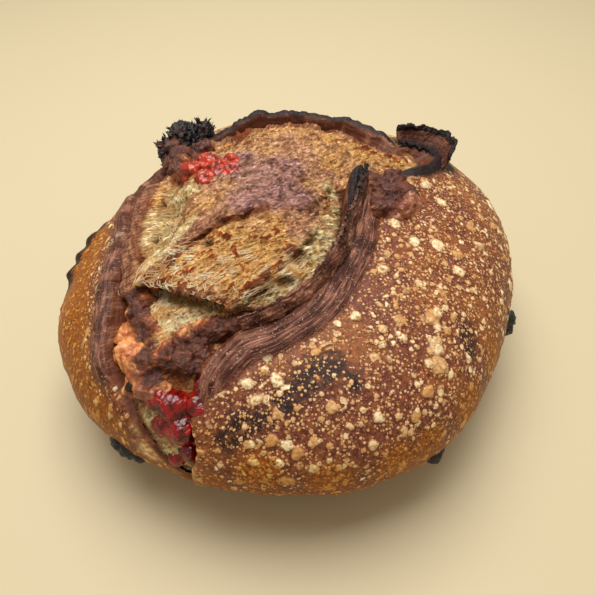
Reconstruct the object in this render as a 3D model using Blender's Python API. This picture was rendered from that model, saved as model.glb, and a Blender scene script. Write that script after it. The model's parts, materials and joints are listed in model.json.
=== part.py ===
"""A round sheep cheese and cranberry loaf that burst open along its three-cornered score.

The loaf is one solid: a flat-based dome whose crust lifts into ears round the opening, with the
crumb swelling up inside. The melted cheese lumps, the cranberries and the burnt drips that leaked
out at the base are solids of their own, each in a socket of the loaf.

Places on the loaf are given as it is seen from its centre: a bearing, in degrees from +X towards
+Y, and a tilt, in degrees down from straight up.
"""

import math

import bpy
import numpy as np
from mathutils import Vector, noise

MM = 0.001

# The bare dome, before the opening is shaped.
LOAF_RADIUS = 115 * MM
DOME_HEIGHT = 88 * MM
WAIST_HEIGHT = 40 * MM
UNDERSIDE_DEPTH = 46.4 * MM
STONE_DEPTH = 41.6 * MM
DOME_POWER = 2.2
BASE_EDGE_SHARPNESS = 10
# Waves round the loaf's plan: how many, cosine share and sine share of the radius.
PLAN_WAVES = ((2, -0.065, 0.044), (3, 0.008, -0.023), (4, 0.001, 0.029))
# The dome's centre in plan, which puts the finished loaf's box over the origin.
CENTRE_X = 0.55 * MM
CENTRE_Y = -2.4 * MM

# The edge of the opening, going round from its front corner: bearing and tilt in degrees, then how
# far the crust lifts into an ear there, how far the ear leans over the crumb, and how deep the
# groove under it is, in millimetres.
OPENING_EDGE = (
    (-109.5, 94, 2, 0.5, 1),
    (-107, 84, 4, 1, 3),
    (-109, 78, 5, 1.5, 5),
    (-109.5, 72, 6, 2.5, 7),
    (-105.5, 65.5, 6, 2.5, 9),
    (-97, 62, 5, 2, 10),
    (-85, 56.3, 5, 2.5, 9),
    (-73, 47.5, 6, 3, 8),
    (-58, 39.5, 7, 3.5, 8),
    (-36, 31.5, 8, 3.5, 8),
    (-10, 27.5, 9, 3, 8),
    (14, 28.5, 9.5, 1.5, 7),
    (24, 36, 4, 0.5, 4),
    (20, 44, 3, 0.5, 4),
    (21, 53, 9, -1.5, 8),
    (29, 63, 13, -3, 11),
    (36, 67, 14, -3, 12),
    (41.5, 65.5, 12, -2, 11),
    (44.5, 62, 0.5, 0, 3),
    (52, 60, 5, 0.5, 5),
    (70, 59, 8, 0.5, 8),
    (92, 57, 10, 0.5, 10),
    (112, 57.5, 10, 0, 10),
    (124, 59, 6, 0.5, 7),
    (143, 68, 3, 0, 4),
    (152, 71.5, 3, 0.5, 5),
    (172, 65.5, 4, 1, 7),
    (-168, 63, 4, 1.5, 8),
    (-150, 65.5, 5, 2, 9),
    (-138, 70.5, 5.5, 3, 8),
    (-132, 76, 4, 2.5, 6),
    (-127, 81, 1.5, 0.5, 3),
    (-120, 86, 0.5, 0, 1),
    (-114, 92, 0.5, 0, 1),
)
# The ear rises over a ramp of this width, and its ragged rim has long and short waves.
EAR_RAMP = 24 * MM
RAGGED_LONG, RAGGED_SHORT = 13 * MM, 5 * MM
# Along the right of the opening the crust folded into a thick band with a dip beyond it.
BAND_FROM, BAND_TO = -112, 10
BAND_HEIGHT, BAND_DIP, BAND_WIDTH = 1.6 * MM, 1.4 * MM, 13 * MM
LEAN_REACH = 11 * MM
# Under the ear the surface drops to the groove, tucks back, and then swells up into the crumb.
UNDERCUT = 4.5 * MM
TUCK = 1.5 * MM
GROOVE_WIDTH = 8 * MM
CRUMB_SWELL = 9 * MM
SWELL_REACH = 26 * MM

# Folds and ledges of the torn crumb. Each has its height, its reach to the left and to the right of
# its run, how far it leans to the right, in millimetres, and its run as bearings and tilts.
FOLDS = {
    "torn_strip": (7, 4, 2.2, 2.5, ((-106.5, 60.5), (-100, 57.5), (-94, 54.5), (-87, 51), (-79, 45.5))),
    "inner_ridge": (5, 3, 5, -1, ((-137, 65), (-149, 61.5), (-161, 58.5), (-173, 57.5), (172, 58.5),
                                  (160, 59.5), (150, 63))),
    "front_ledge": (7, 14, 1.8, 4.5, ((-146, 61), (-139, 57), (-129, 53.5), (-117, 52), (-107, 49),
                                  (-98, 50))),
    "side_ledge": (3.5, 2.5, 9, -1, ((-150, 57), (-154, 52), (-165, 45), (172, 41), (158, 40))),
    "back_ledge": (2.5, 3, 8, 0, ((130, 46), (112, 49), (92, 49.5), (70, 50), (52, 50))),
}

# Hollows and large bubbles of the crumb: bearing, tilt, radius, depth.
HOLLOWS = (
    (-134, 57, 9 * MM, 7 * MM),
    (-127, 57.5, 9 * MM, 6 * MM),
    (-119, 57, 8 * MM, 5 * MM),
    (-118, 63, 12 * MM, 4 * MM),
    (-162, 53, 8 * MM, 4.5 * MM),
    (178, 52, 9 * MM, 5 * MM),
    (160, 52, 8 * MM, 4 * MM),
    (-100, 46.5, 3.6 * MM, 5 * MM),
    (22, 18, 4.2 * MM, 4 * MM),
    (179, 56, 2.3 * MM, 4 * MM),
    (-175, 53.5, 2.3 * MM, 4 * MM),
    (-164, 57, 2.4 * MM, 3 * MM),
    (-149, 62.5, 3.5 * MM, 3 * MM),
)

# The burnt, bumpy ridge on the loaf's left side.
BURNT_RIDGE = ((173, 76), (-179, 78), (-172, 80.5), (-165, 82.5))
BURNT_HEIGHT, BURNT_REACH, BURNT_BUMPS = 4 * MM, 5.5 * MM, 4

# Unevenness of crust and crumb: size of the lumps and how high they stand.
CRUST_LUMP, CRUST_RISE = 42 * MM, 1.6 * MM
CRUMB_LUMP, CRUMB_RISE = 9 * MM, 1.3 * MM

# Lumps that sit in the loaf. Each is a run of balls: bearing, tilt, lift above the loaf's surface
# and radius, in millimetres.
LUMPS = {
    "cheese_front_left": (
        (-140, 66.5, 1, 5),
        (-136, 68.5, 1, 6),
        (-131, 70.5, 0, 5.5),
        (-133, 73, 0, 6.5),
        (-128.5, 75.5, -1, 8),
        (-124, 75, -1, 6.5),
        (-120.5, 77, -1, 5.5),
        (-125.5, 79, -1, 4.5),
    ),
    "cheese_front_middle": (
        (-120, 69.5, 0, 5),
        (-117.5, 68, 0.5, 6),
        (-115, 66.5, 0, 6),
        (-111.5, 64, 0, 5),
        (-109, 61.5, 0, 4),
        (-117, 72, 0, 6.5),
        (-113.5, 72, 0, 6.5),
    ),
    "cranberry_front": ((-115.5, 79, -1, 6), (-111.6, 78.8, -1, 6), (-113, 82, -1.5, 5.5)),
    "cranberry_drip": ((-111.2, 86, -1.2, 4), (-112.8, 88, -1.2, 3.4)),
    "cheese_back_left": (
        (130, 62.5, 3, 6.5),
        (136, 59, 2, 6),
        (136, 64.5, 6, 7.5),
        (142, 66, 6, 7.5),
        (146, 62, 3, 7),
        (152, 59, 0, 6),
    ),
    "cranberry_back": (
        (151, 48, 0, 6),
        (160, 39, 0, 6),
        (172, 40, -0.5, 5.5),
        (166, 32, -1, 5),
        (149, 36, -1, 5.5),
        (161, 48, -0.5, 5),
    ),
    "cheese_back_right": (
        (7, 38.5, 1, 7),
        (12, 45, 0, 6.5),
        (4.5, 48.5, 0, 6),
        (-4, 42.5, 1, 7.5),
        (-16, 39, 0, 5.5),
        (-11.5, 47.5, 0.5, 7),
        (-3, 51, 0, 6.5),
    ),
}
# The free end of the crust's back right corner, which curls back over the opening: bearing, tilt,
# lift above the bare dome and radius, in millimetres.
CURL_END = ((36, 67.5, 8, 4.2), (40, 66.5, 9.5, 4.4), (43, 64.5, 10, 4.4), (45, 62, 10, 4))
# Burnt drips of cheese on the loaf's side, given as the lumps are.
DRIPS = {
    "burnt_drip_right": ((-21, 88, -0.8, 4.2), (-22.5, 90, -0.5, 3.4)),
    "burnt_drip_front": ((-61.3, 94.5, -1, 4.2), (-59.8, 95.5, -1, 3.4)),
    "burnt_drip_left": ((-127.6, 94, -1.2, 4.6), (-125.4, 94.6, -1, 4.6), (-123.3, 95.5, -1, 3.8)),
}
SOCKET_GAP = 0.45 * MM
BALL_SWELL, BALL_WAVE = 0.16, 5 * MM
FUSE_VOXEL = 1.4 * MM

LOAF_SUBDIVISIONS = 7
BALL_SUBDIVISIONS = 4
LOAF_TRIANGLES = 7200
LUMP_TRIANGLES = 340
DRIP_TRIANGLES = 120
EDGE_STEPS = 14

CRUST_COLOUR = (0.24, 0.11, 0.045, 1)
CHEESE_COLOUR = (0.30, 0.11, 0.035, 1)
BERRY_COLOUR = (0.34, 0.015, 0.012, 1)
BURNT_COLOUR = (0.012, 0.010, 0.010, 1)


def clear_scene():
    for item in list(bpy.data.objects):
        bpy.data.objects.remove(item)


def material(name, colour, roughness):
    made = bpy.data.materials.new(name)
    made.use_nodes = True
    shader = made.node_tree.nodes["Principled BSDF"]
    shader.inputs["Base Color"].default_value = colour
    shader.inputs["Roughness"].default_value = roughness
    return made


def direction(bearing, tilt):
    """Unit vectors of bearings and tilts in degrees."""
    bearing, tilt = np.radians(bearing), np.radians(tilt)
    return np.stack(
        [np.sin(tilt) * np.cos(bearing), np.sin(tilt) * np.sin(bearing), np.cos(tilt)], axis=-1
    )


def dome_radius(ways):
    """Distance from the loaf's centre to the bare dome, along unit vectors."""
    bearing = np.arctan2(ways[..., 1], ways[..., 0])
    level, up = np.hypot(ways[..., 0], ways[..., 1]), ways[..., 2]
    plan = np.full(bearing.shape, 1.0)
    for count, cosine, sine in PLAN_WAVES:
        plan += cosine * np.cos(count * bearing) + sine * np.sin(count * bearing)
    height = np.where(up > 0, DOME_HEIGHT - WAIST_HEIGHT, UNDERSIDE_DEPTH)
    share = (level / (LOAF_RADIUS * plan)) ** DOME_POWER + (np.abs(up) / height) ** DOME_POWER
    radius = share ** (-1 / DOME_POWER)
    stone = STONE_DEPTH / np.maximum(-up, 1e-6)
    rounded = (radius**-BASE_EDGE_SHARPNESS + stone**-BASE_EDGE_SHARPNESS) ** (-1 / BASE_EDGE_SHARPNESS)
    return np.where(up < 0, rounded, radius)


CENTRE = np.array([CENTRE_X, CENTRE_Y, WAIST_HEIGHT])


def spot(bearing, tilt, lift=0.0):
    """The point on the bare dome at a bearing and tilt, lifted away from the centre."""
    way = direction(bearing, tilt)
    return CENTRE + way * (dome_radius(way) + lift)[..., None]


def flat_map(ways):
    """Directions on a flat map: the tilt in degrees is the distance from the map's middle."""
    tilt = np.degrees(np.arccos(np.clip(ways[..., 2], -1, 1)))
    bearing = np.arctan2(ways[..., 1], ways[..., 0])
    return np.stack([tilt * np.cos(bearing), tilt * np.sin(bearing)], axis=-1)


def from_map(points):
    """Bearing and tilt in degrees of points on the flat map."""
    return np.degrees(np.arctan2(points[..., 1], points[..., 0])), np.hypot(points[..., 0], points[..., 1])


def curve_through(rows, steps, closed):
    """A smooth curve through rows of numbers, by Catmull and Rom's formula."""
    rows = np.asarray(rows, float)
    if closed:
        rows = np.concatenate([rows[-1:], rows, rows[:2]])
    else:
        rows = np.concatenate([2 * rows[:1] - rows[1:2], rows, 2 * rows[-1:] - rows[-2:-1]])
    found = []
    for a, b, c, d in zip(rows, rows[1:], rows[2:], rows[3:]):
        t = np.linspace(0, 1, steps, endpoint=False)[:, None]
        found.append(0.5 * (2 * b + (c - a) * t + (2 * a - 5 * b + 4 * c - d) * t**2
                            + (3 * b - a - 3 * c + d) * t**3))
    if not closed:
        found.append(rows[-2:-1])
    return np.concatenate(found)


def on_map(bearing_tilt_rows):
    """Rows of bearing, tilt and more, with the first two as a point of the flat map."""
    rows = np.asarray(bearing_tilt_rows, float)
    bearing = np.radians(rows[:, 0])
    return np.column_stack([rows[:, 1] * np.cos(bearing), rows[:, 1] * np.sin(bearing), rows[:, 2:]])


def inside_map(points, outline):
    """Which points of the flat map lie inside the closed outline."""
    inside = np.zeros(len(points), bool)
    x, y = points[:, 0], points[:, 1]
    for (ax, ay), (bx, by) in zip(outline, np.roll(outline, -1, axis=0)):
        crosses = (ay > y) != (by > y)
        slope = (bx - ax) / (by - ay) if by != ay else 0.0
        inside ^= crosses & (x < ax + (y - ay) * slope)
    return inside


def nearest(points, line):
    """For each point, the index of the nearest point of the line and its distance."""
    index = np.empty(len(points), int)
    distance = np.empty(len(points))
    for start in range(0, len(points), 4096):
        part = slice(start, start + 4096)
        gaps = np.linalg.norm(points[part, None, :] - line[None, :, :], axis=2)
        index[part] = gaps.argmin(axis=1)
        distance[part] = gaps.min(axis=1)
    return index, distance


def smooth_step(x):
    x = np.clip(x, 0, 1)
    return x * x * (3 - 2 * x)


def lumpiness(points, size, octaves):
    """Noise of about -1 to 1 with lumps of that size and finer ones on them."""
    return np.array([noise.fractal(Vector(p / size), 0.9, 2.1, octaves) for p in points - CENTRE])


def waviness(points, size):
    """Plain noise of about -1 to 1 with waves of that size."""
    return np.array([noise.noise(Vector(p / size)) for p in points - CENTRE])


def shaped_loaf(ways):
    """The loaf's surface for unit vectors from its centre, with its ears, groove and crumb."""
    radius = dome_radius(ways)
    bare = CENTRE + ways * radius[:, None]
    edge = curve_through(on_map(OPENING_EDGE), EDGE_STEPS, closed=True)
    edge_points = spot(*from_map(edge[:, :2]))
    index, distance = nearest(bare, edge_points)
    inside = inside_map(flat_map(ways), edge[:, :2])
    outward = np.where(inside, -distance, distance)
    lift, lean, groove = (edge[index, 2:] * MM).T
    edge_bearing = from_map(edge[index, :2])[0]

    # Ragged ears: their height and lean vary along the edge.
    ragged = waviness(edge_points, RAGGED_LONG) + 0.35 * waviness(edge_points, RAGGED_SHORT)
    lift = lift * (1 + 0.4 * ragged[index])
    lean = lean * (1 + 0.6 * ragged[index])

    # The thick band: a bulge and then a dip, side by side, which fade at the band's two ends.
    band = smooth_step((edge_bearing - BAND_FROM) / 6) * smooth_step((BAND_TO - edge_bearing) / 20)
    across = np.maximum(outward, 0) / BAND_WIDTH
    bulge = BAND_HEIGHT * np.exp(-(((across - 0.45) / 0.4) ** 2))
    bulge -= BAND_DIP * np.exp(-(((across - 1.1) / 0.3) ** 2))

    ramp = np.clip(1 - outward / EAR_RAMP, 0, 1) ** 2
    reach = np.clip(1 - outward / LEAN_REACH, 0, 1) ** 2
    depth = np.maximum(-outward, 0)
    turn = smooth_step(depth / UNDERCUT)
    past = np.maximum(depth - UNDERCUT, 0)
    swell = CRUMB_SWELL * (1 - np.exp(-((past / SWELL_REACH) ** 2)))
    below = -groove * np.exp(-past / GROOVE_WIDTH) + swell
    rise = np.where(inside, lift * (1 - turn) + below * turn, lift * ramp + bulge * band)
    over = np.where(inside, lean * (1 - turn) - TUCK * turn * np.exp(-past / GROOVE_WIDTH), lean * reach)

    crumb = smooth_step(depth / (2 * UNDERCUT))
    folded, leaned = folds(ways, bare)
    rise += folded * crumb
    rise -= hollow_depth(bare) * crumb
    rise += crumb * CRUMB_RISE * lumpiness(bare, CRUMB_LUMP, 3)
    rise += (1 - crumb) * CRUST_RISE * lumpiness(bare, CRUST_LUMP, 2)

    # The ear leans towards the crumb, square to the edge and along the dome.
    along = np.roll(edge_points, -1, axis=0) - np.roll(edge_points, 1, axis=0)
    up = edge_points - CENTRE
    inward = np.cross(up, along)
    inward /= np.linalg.norm(inward, axis=1)[:, None]
    shaped = bare + ways * rise[:, None] + inward[index] * over[:, None] + leaned * crumb[:, None]
    shaped += ways * burnt_rise(bare)[:, None]
    # The base is flat, as the loaf baked on a hot stone.
    shaped[:, 2] = np.maximum(shaped[:, 2], 0)
    return shaped


def folds(ways, bare):
    """How far the folds and ledges raise the crumb, and which way and how far they lean it."""
    total = np.zeros(len(bare))
    leaned = np.zeros((len(bare), 3))
    here = flat_map(ways)
    for height, left, right, lean, line in FOLDS.values():
        path = curve_through(on_map(line), EDGE_STEPS, closed=False)
        path_points = spot(*from_map(path))
        index, distance = nearest(bare, path_points)
        run = np.gradient(path, axis=0)[index]
        side = run[:, 0] * (here[:, 1] - path[index, 1]) - run[:, 1] * (here[:, 0] - path[index, 0])
        reach = np.where(side > 0, left, right) * MM
        share = np.linspace(0, 1, len(path))[index]
        fade = smooth_step(share / 0.12) * smooth_step((1 - share) / 0.12)
        weight = fade * np.exp(-((distance / reach) ** 2))
        total += height * MM * weight
        rightward = np.cross(np.gradient(path_points, axis=0), path_points - CENTRE)
        rightward /= np.linalg.norm(rightward, axis=1)[:, None]
        leaned += rightward[index] * (lean * MM * weight)[:, None]
    return total, leaned


def burnt_rise(bare):
    """How far the burnt ridge on the loaf's left side stands out."""
    path = curve_through(on_map(BURNT_RIDGE), EDGE_STEPS, closed=False)
    path_points = spot(*from_map(path))
    index, distance = nearest(bare, path_points)
    share = np.linspace(0, 1, len(path))[index]
    bumps = 0.75 + 0.25 * np.sin(share * 2 * np.pi * BURNT_BUMPS)
    ends = smooth_step(share / 0.2) * smooth_step((1 - share) / 0.2)
    return BURNT_HEIGHT * bumps * ends * np.exp(-((distance / BURNT_REACH) ** 2))


def hollow_depth(bare):
    """How deep the hollows and bubbles sink the crumb."""
    total = np.zeros(len(bare))
    for bearing, tilt, radius, depth in HOLLOWS:
        gap = np.linalg.norm(bare - spot(bearing, tilt), axis=1)
        total = np.maximum(total, depth * np.exp(-((gap / radius) ** 4)))
    return total


def set_points(mesh, points):
    mesh.vertices.foreach_set("co", np.ascontiguousarray(points, np.float32).ravel())
    mesh.update()


def points_of(mesh):
    flat = np.empty(len(mesh.vertices) * 3, np.float32)
    mesh.vertices.foreach_get("co", flat)
    return flat.reshape(-1, 3).astype(float)


def new_ball(name, subdivisions):
    """A ball of radius 1 about the world's origin."""
    bpy.ops.mesh.primitive_ico_sphere_add(subdivisions=subdivisions, radius=1)
    ball = bpy.context.object
    ball.name = ball.data.name = name
    return ball


def apply_modifiers(item):
    """Makes what the modifiers show the object's own mesh."""
    graph = bpy.context.evaluated_depsgraph_get()
    made = bpy.data.meshes.new_from_object(item.evaluated_get(graph))
    item.modifiers.clear()
    item.data = made


def thin_out(item, triangles):
    """Collapses the flattest edges until about that many triangles are left."""
    item.data.calc_loop_triangles()
    before = len(item.data.loop_triangles)
    thin = item.modifiers.new("Thin out", "DECIMATE")
    thin.ratio = min(1, triangles / before)
    thin.use_collapse_triangulate = True
    apply_modifiers(item)


def keep_largest_piece(item):
    """Drops loose scraps that a Boolean left."""
    bpy.ops.object.select_all(action="DESELECT")
    bpy.context.view_layer.objects.active = item
    item.select_set(True)
    before = set(bpy.data.objects)
    bpy.ops.mesh.separate(type="LOOSE")
    scraps = sorted([item, *(set(bpy.data.objects) - before)], key=lambda o: -len(o.data.polygons))
    item.data = scraps[0].data.copy()
    for scrap in scraps:
        if scrap != item:
            bpy.data.objects.remove(scrap)


def make_loaf():
    loaf = new_ball("loaf", LOAF_SUBDIVISIONS)
    ways = points_of(loaf.data)
    ways /= np.linalg.norm(ways, axis=1)[:, None]
    set_points(loaf.data, shaped_loaf(ways))
    return loaf


def boolean(item, others, operation):
    """Joins the others to the item, or cuts them from it, and removes them."""
    if not others:
        return
    for other in others:
        change = item.modifiers.new(operation.title(), "BOOLEAN")
        change.operation = operation
        change.solver = "EXACT"
        change.object = other
    bpy.context.view_layer.update()
    apply_modifiers(item)
    for other in others:
        bpy.data.objects.remove(other)


def make_lump(name, balls, triangles):
    """One lump of fused balls, given as centres and radii."""
    parts = []
    for centre, radius in balls:
        ball = new_ball(name, BALL_SUBDIVISIONS)
        points = points_of(ball.data)
        swell = 1 + BALL_SWELL * waviness(points * radius + centre, BALL_WAVE)
        set_points(ball.data, centre + points * radius * swell[:, None])
        parts.append(ball)
    bpy.ops.object.select_all(action="DESELECT")
    for part in parts:
        part.select_set(True)
    bpy.context.view_layer.objects.active = parts[0]
    bpy.ops.object.join()
    lump = bpy.context.object
    lump.name = lump.data.name = name
    fuse = lump.modifiers.new("Fuse", "REMESH")
    fuse.mode = "VOXEL"
    fuse.voxel_size = FUSE_VOXEL
    ease = lump.modifiers.new("Ease", "SMOOTH")
    ease.factor = 0.5
    ease.iterations = 4
    apply_modifiers(lump)
    thin_out(lump, triangles)
    return lump


def make_curl_end():
    rows = np.array(CURL_END, float)
    centres = spot(rows[:, 0], rows[:, 1], rows[:, 2] * MM)
    return make_lump("curl_end", list(zip(centres, rows[:, 3] * MM)), DRIP_TRIANGLES)


def boxes_meet(one, other):
    """Whether the boxes of two pieces touch."""
    a, b = points_of(one.data), points_of(other.data)
    apart = (a.min(axis=0) > b.max(axis=0) + SOCKET_GAP) | (b.min(axis=0) > a.max(axis=0) + SOCKET_GAP)
    return not apart.any()


def socket_cutter(lump):
    """A copy of the lump, larger all round by the gap between lump and loaf."""
    cutter = lump.copy()
    cutter.data = lump.data.copy()
    cutter.name = lump.name + "_socket"
    bpy.context.scene.collection.objects.link(cutter)
    bpy.context.view_layer.update()
    normals = np.array([v.normal for v in cutter.data.vertices])
    set_points(cutter.data, points_of(cutter.data) + normals * SOCKET_GAP)
    return cutter


def build():
    clear_scene()
    loaf = make_loaf()
    thin_out(loaf, LOAF_TRIANGLES)
    boolean(loaf, [make_curl_end()], "UNION")

    lumps = []
    for name, rows in {**LUMPS, **DRIPS}.items():
        rows = np.array(rows, float)
        ways = direction(rows[:, 0], rows[:, 1])
        centres = shaped_loaf(ways) + ways * rows[:, 2:3] * MM
        triangles = LUMP_TRIANGLES if name in LUMPS else DRIP_TRIANGLES
        lump = make_lump(name, list(zip(centres, rows[:, 3] * MM)), triangles)
        boolean(lump, [socket_cutter(other) for other in lumps if boxes_meet(lump, other)], "DIFFERENCE")
        lumps.append(lump)
    boolean(loaf, [socket_cutter(lump) for lump in lumps], "DIFFERENCE")
    keep_largest_piece(loaf)

    crust = material("baked_crust", CRUST_COLOUR, 0.55)
    cheese = material("melted_cheese", CHEESE_COLOUR, 0.3)
    berry = material("cranberry", BERRY_COLOUR, 0.15)
    burnt = material("burnt_drip", BURNT_COLOUR, 0.6)
    for item in [loaf, *lumps]:
        kind = {"loaf": crust, "chee": cheese, "cran": berry, "burn": burnt}[item.name[:4]]
        item.data.materials.clear()
        item.data.materials.append(kind)
        item.data.shade_smooth()
        item.data.set_sharp_from_angle(angle=math.radians(40))


build()
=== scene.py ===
# %% [markdown]
# A round sourdough loaf with sheep cheese and cranberries, seen from above its front. Its crust
# burst along a three-cornered score, so torn crumb shows in the middle, lifted ears of crust stand
# round it, and melted cheese and cranberries have leaked out at the corners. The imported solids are
# loaded first: they fix where everything lies, and each piece made below stands for one of them.

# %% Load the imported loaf
import json
import math
import random

import bpy
import numpy as np
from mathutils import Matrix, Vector, kdtree, noise

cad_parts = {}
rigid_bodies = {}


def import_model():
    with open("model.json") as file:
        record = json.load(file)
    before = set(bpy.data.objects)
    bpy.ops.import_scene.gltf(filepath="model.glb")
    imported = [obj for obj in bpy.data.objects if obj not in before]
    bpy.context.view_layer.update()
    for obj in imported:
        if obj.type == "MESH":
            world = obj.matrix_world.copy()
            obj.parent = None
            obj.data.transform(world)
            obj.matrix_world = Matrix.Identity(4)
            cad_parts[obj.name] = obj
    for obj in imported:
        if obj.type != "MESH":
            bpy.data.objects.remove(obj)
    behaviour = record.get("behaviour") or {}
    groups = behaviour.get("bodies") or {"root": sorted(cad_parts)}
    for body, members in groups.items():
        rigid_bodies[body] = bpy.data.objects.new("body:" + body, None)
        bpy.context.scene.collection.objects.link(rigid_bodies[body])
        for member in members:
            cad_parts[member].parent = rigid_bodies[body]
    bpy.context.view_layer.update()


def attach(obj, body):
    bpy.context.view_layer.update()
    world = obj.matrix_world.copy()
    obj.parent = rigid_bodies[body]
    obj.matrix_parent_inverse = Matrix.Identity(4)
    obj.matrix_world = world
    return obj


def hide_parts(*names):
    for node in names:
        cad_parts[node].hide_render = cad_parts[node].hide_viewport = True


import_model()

bpy.ops.object.select_all(action="DESELECT")
MM = 0.001

# %% [markdown]
# The camera looks down at 46 degrees with a wide phone lens from close by, as in the photograph.
# A short lens and a near camera give the same strong perspective, where the front bulges.

# %% Camera
CAMERA_TARGET = Vector((0.55, -16.4, 33.4)) * MM
CAMERA_DISTANCE = 294.8 * MM
CAMERA_ELEVATION = math.radians(46)
LENS_MM, SENSOR_MM = 35, 36
NEAREST_SEEN = 0.01


def make_camera():
    back = Vector((0, -math.cos(CAMERA_ELEVATION), math.sin(CAMERA_ELEVATION)))
    tilt = math.pi / 2 - CAMERA_ELEVATION
    bpy.ops.object.camera_add(location=CAMERA_TARGET + back * CAMERA_DISTANCE, rotation=(tilt, 0, 0))
    camera = bpy.context.object
    camera.data.lens = LENS_MM
    camera.data.sensor_width = SENSOR_MM
    camera.data.clip_start = NEAREST_SEEN
    bpy.context.scene.camera = camera
    return camera


print("camera at", [round(part, 3) for part in make_camera().location])

# %% [markdown]
# A big window above the loaf and behind it lights it softly, and a pale, warm room fills the
# shadows. One large area lamp and a plain world do the same, without any picture of a room.

# %% Light and floor
WINDOW_PLACE = Vector((-0.06, 0.20, 0.98))
WINDOW_AIM = Vector((0, 0, 0.05))
WINDOW_SIZE = 0.8
WINDOW_WATTS = 12
ROOM_COLOUR = (1, 0.93, 0.80, 1)
ROOM_BRIGHTNESS = 0.44
FLOOR_COLOUR = (0.61, 0.51, 0.32, 1)
FLOOR_ROUGHNESS = 0.6
FLOOR_SIZE, FLOOR_DROP = 6, 0.05 * MM


def make_light():
    aim = (WINDOW_AIM - WINDOW_PLACE).to_track_quat("-Z", "Y").to_euler()
    bpy.ops.object.light_add(type="AREA", radius=WINDOW_SIZE, location=WINDOW_PLACE, rotation=aim)
    window = bpy.context.object
    window.data.size = WINDOW_SIZE
    window.data.energy = WINDOW_WATTS
    world = bpy.data.worlds.new("pale_room")
    world.use_nodes = True
    background = world.node_tree.nodes["Background"]
    background.inputs["Color"].default_value = ROOM_COLOUR
    background.inputs["Strength"].default_value = ROOM_BRIGHTNESS
    bpy.context.scene.world = world
    bpy.context.scene.view_settings.view_transform = "Standard"
    return window


def make_floor():
    bpy.ops.mesh.primitive_plane_add(size=FLOOR_SIZE, location=(0, 0, -FLOOR_DROP))
    floor = bpy.context.object
    floor.name = "floor"
    finish = bpy.data.materials.new("pale_floor")
    finish.use_nodes = True
    shader = finish.node_tree.nodes["Principled BSDF"]
    shader.inputs["Base Color"].default_value = FLOOR_COLOUR
    shader.inputs["Roughness"].default_value = FLOOR_ROUGHNESS
    floor.data.materials.append(finish)
    floor.select_set(False)
    return floor


print("lamp:", make_light().name, "floor:", make_floor().name)

# %% [markdown]
# Every place on the loaf is given as a baker would point at it from the loaf's centre: a bearing,
# in degrees from +X towards +Y, and a tilt, in degrees down from straight up. The bare dome is a
# rounded form that is a little longer one way, flat where it sat on the baking stone.

# %% The bare dome
LOAF_RADIUS = 115 * MM
DOME_HEIGHT = 88 * MM
WAIST_HEIGHT = 40 * MM
UNDERSIDE_DEPTH = 46.4 * MM
STONE_DEPTH = 41.6 * MM
DOME_POWER = 2.2
BASE_EDGE_SHARPNESS = 10
# Waves round the plan: how many, cosine share and sine share of the radius.
PLAN_WAVES = ((2, -0.065, 0.044), (3, 0.008, -0.023), (4, 0.001, 0.029))
CENTRE = np.array([0.55, -2.4, 40]) * MM


def direction(bearing, tilt):
    """Unit vectors of bearings and tilts in degrees."""
    bearing, tilt = np.radians(bearing), np.radians(tilt)
    return np.stack([np.sin(tilt) * np.cos(bearing), np.sin(tilt) * np.sin(bearing), np.cos(tilt)], -1)


def dome_radius(ways):
    """Distance from the loaf's centre to the bare dome, along unit vectors."""
    bearing = np.arctan2(ways[..., 1], ways[..., 0])
    level, up = np.hypot(ways[..., 0], ways[..., 1]), ways[..., 2]
    plan = np.full(bearing.shape, 1.0)
    for count, cosine, sine in PLAN_WAVES:
        plan += cosine * np.cos(count * bearing) + sine * np.sin(count * bearing)
    height = np.where(up > 0, DOME_HEIGHT - WAIST_HEIGHT, UNDERSIDE_DEPTH)
    share = (level / (LOAF_RADIUS * plan)) ** DOME_POWER + (np.abs(up) / height) ** DOME_POWER
    radius = share ** (-1 / DOME_POWER)
    stone = STONE_DEPTH / np.maximum(-up, 1e-6)
    rounded = (radius**-BASE_EDGE_SHARPNESS + stone**-BASE_EDGE_SHARPNESS) ** (-1 / BASE_EDGE_SHARPNESS)
    return np.where(up < 0, rounded, radius)


def spot(bearing, tilt, lift=0.0):
    """The point on the bare dome at a bearing and tilt, lifted away from the centre."""
    way = direction(bearing, tilt)
    return CENTRE + way * (dome_radius(way) + lift)[..., None]


print("top of the bare dome:", [round(float(part), 4) for part in spot(0.0, 0.0)])

# %% [markdown]
# Edges, folds and stains are drawn as a few knots joined by a smooth curve, on a flat map whose
# middle is the top of the loaf. These helpers make the curve, find the nearest place on it, and
# tell which points a closed curve goes round.

# %% Curves on the loaf
STEPS = 24


def flat_map(ways):
    """Directions on a flat map: the tilt in degrees is the distance from the map's middle."""
    tilt = np.degrees(np.arccos(np.clip(ways[..., 2], -1, 1)))
    bearing = np.arctan2(ways[..., 1], ways[..., 0])
    return np.stack([tilt * np.cos(bearing), tilt * np.sin(bearing)], axis=-1)


def from_map(points):
    """Bearing and tilt in degrees of points on the flat map."""
    return np.degrees(np.arctan2(points[..., 1], points[..., 0])), np.hypot(points[..., 0], points[..., 1])


def on_map(rows):
    """Rows of bearing, tilt and more, with the first two as a point of the flat map."""
    rows = np.asarray(rows, float)
    bearing = np.radians(rows[:, 0])
    return np.column_stack([rows[:, 1] * np.cos(bearing), rows[:, 1] * np.sin(bearing), rows[:, 2:]])


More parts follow.
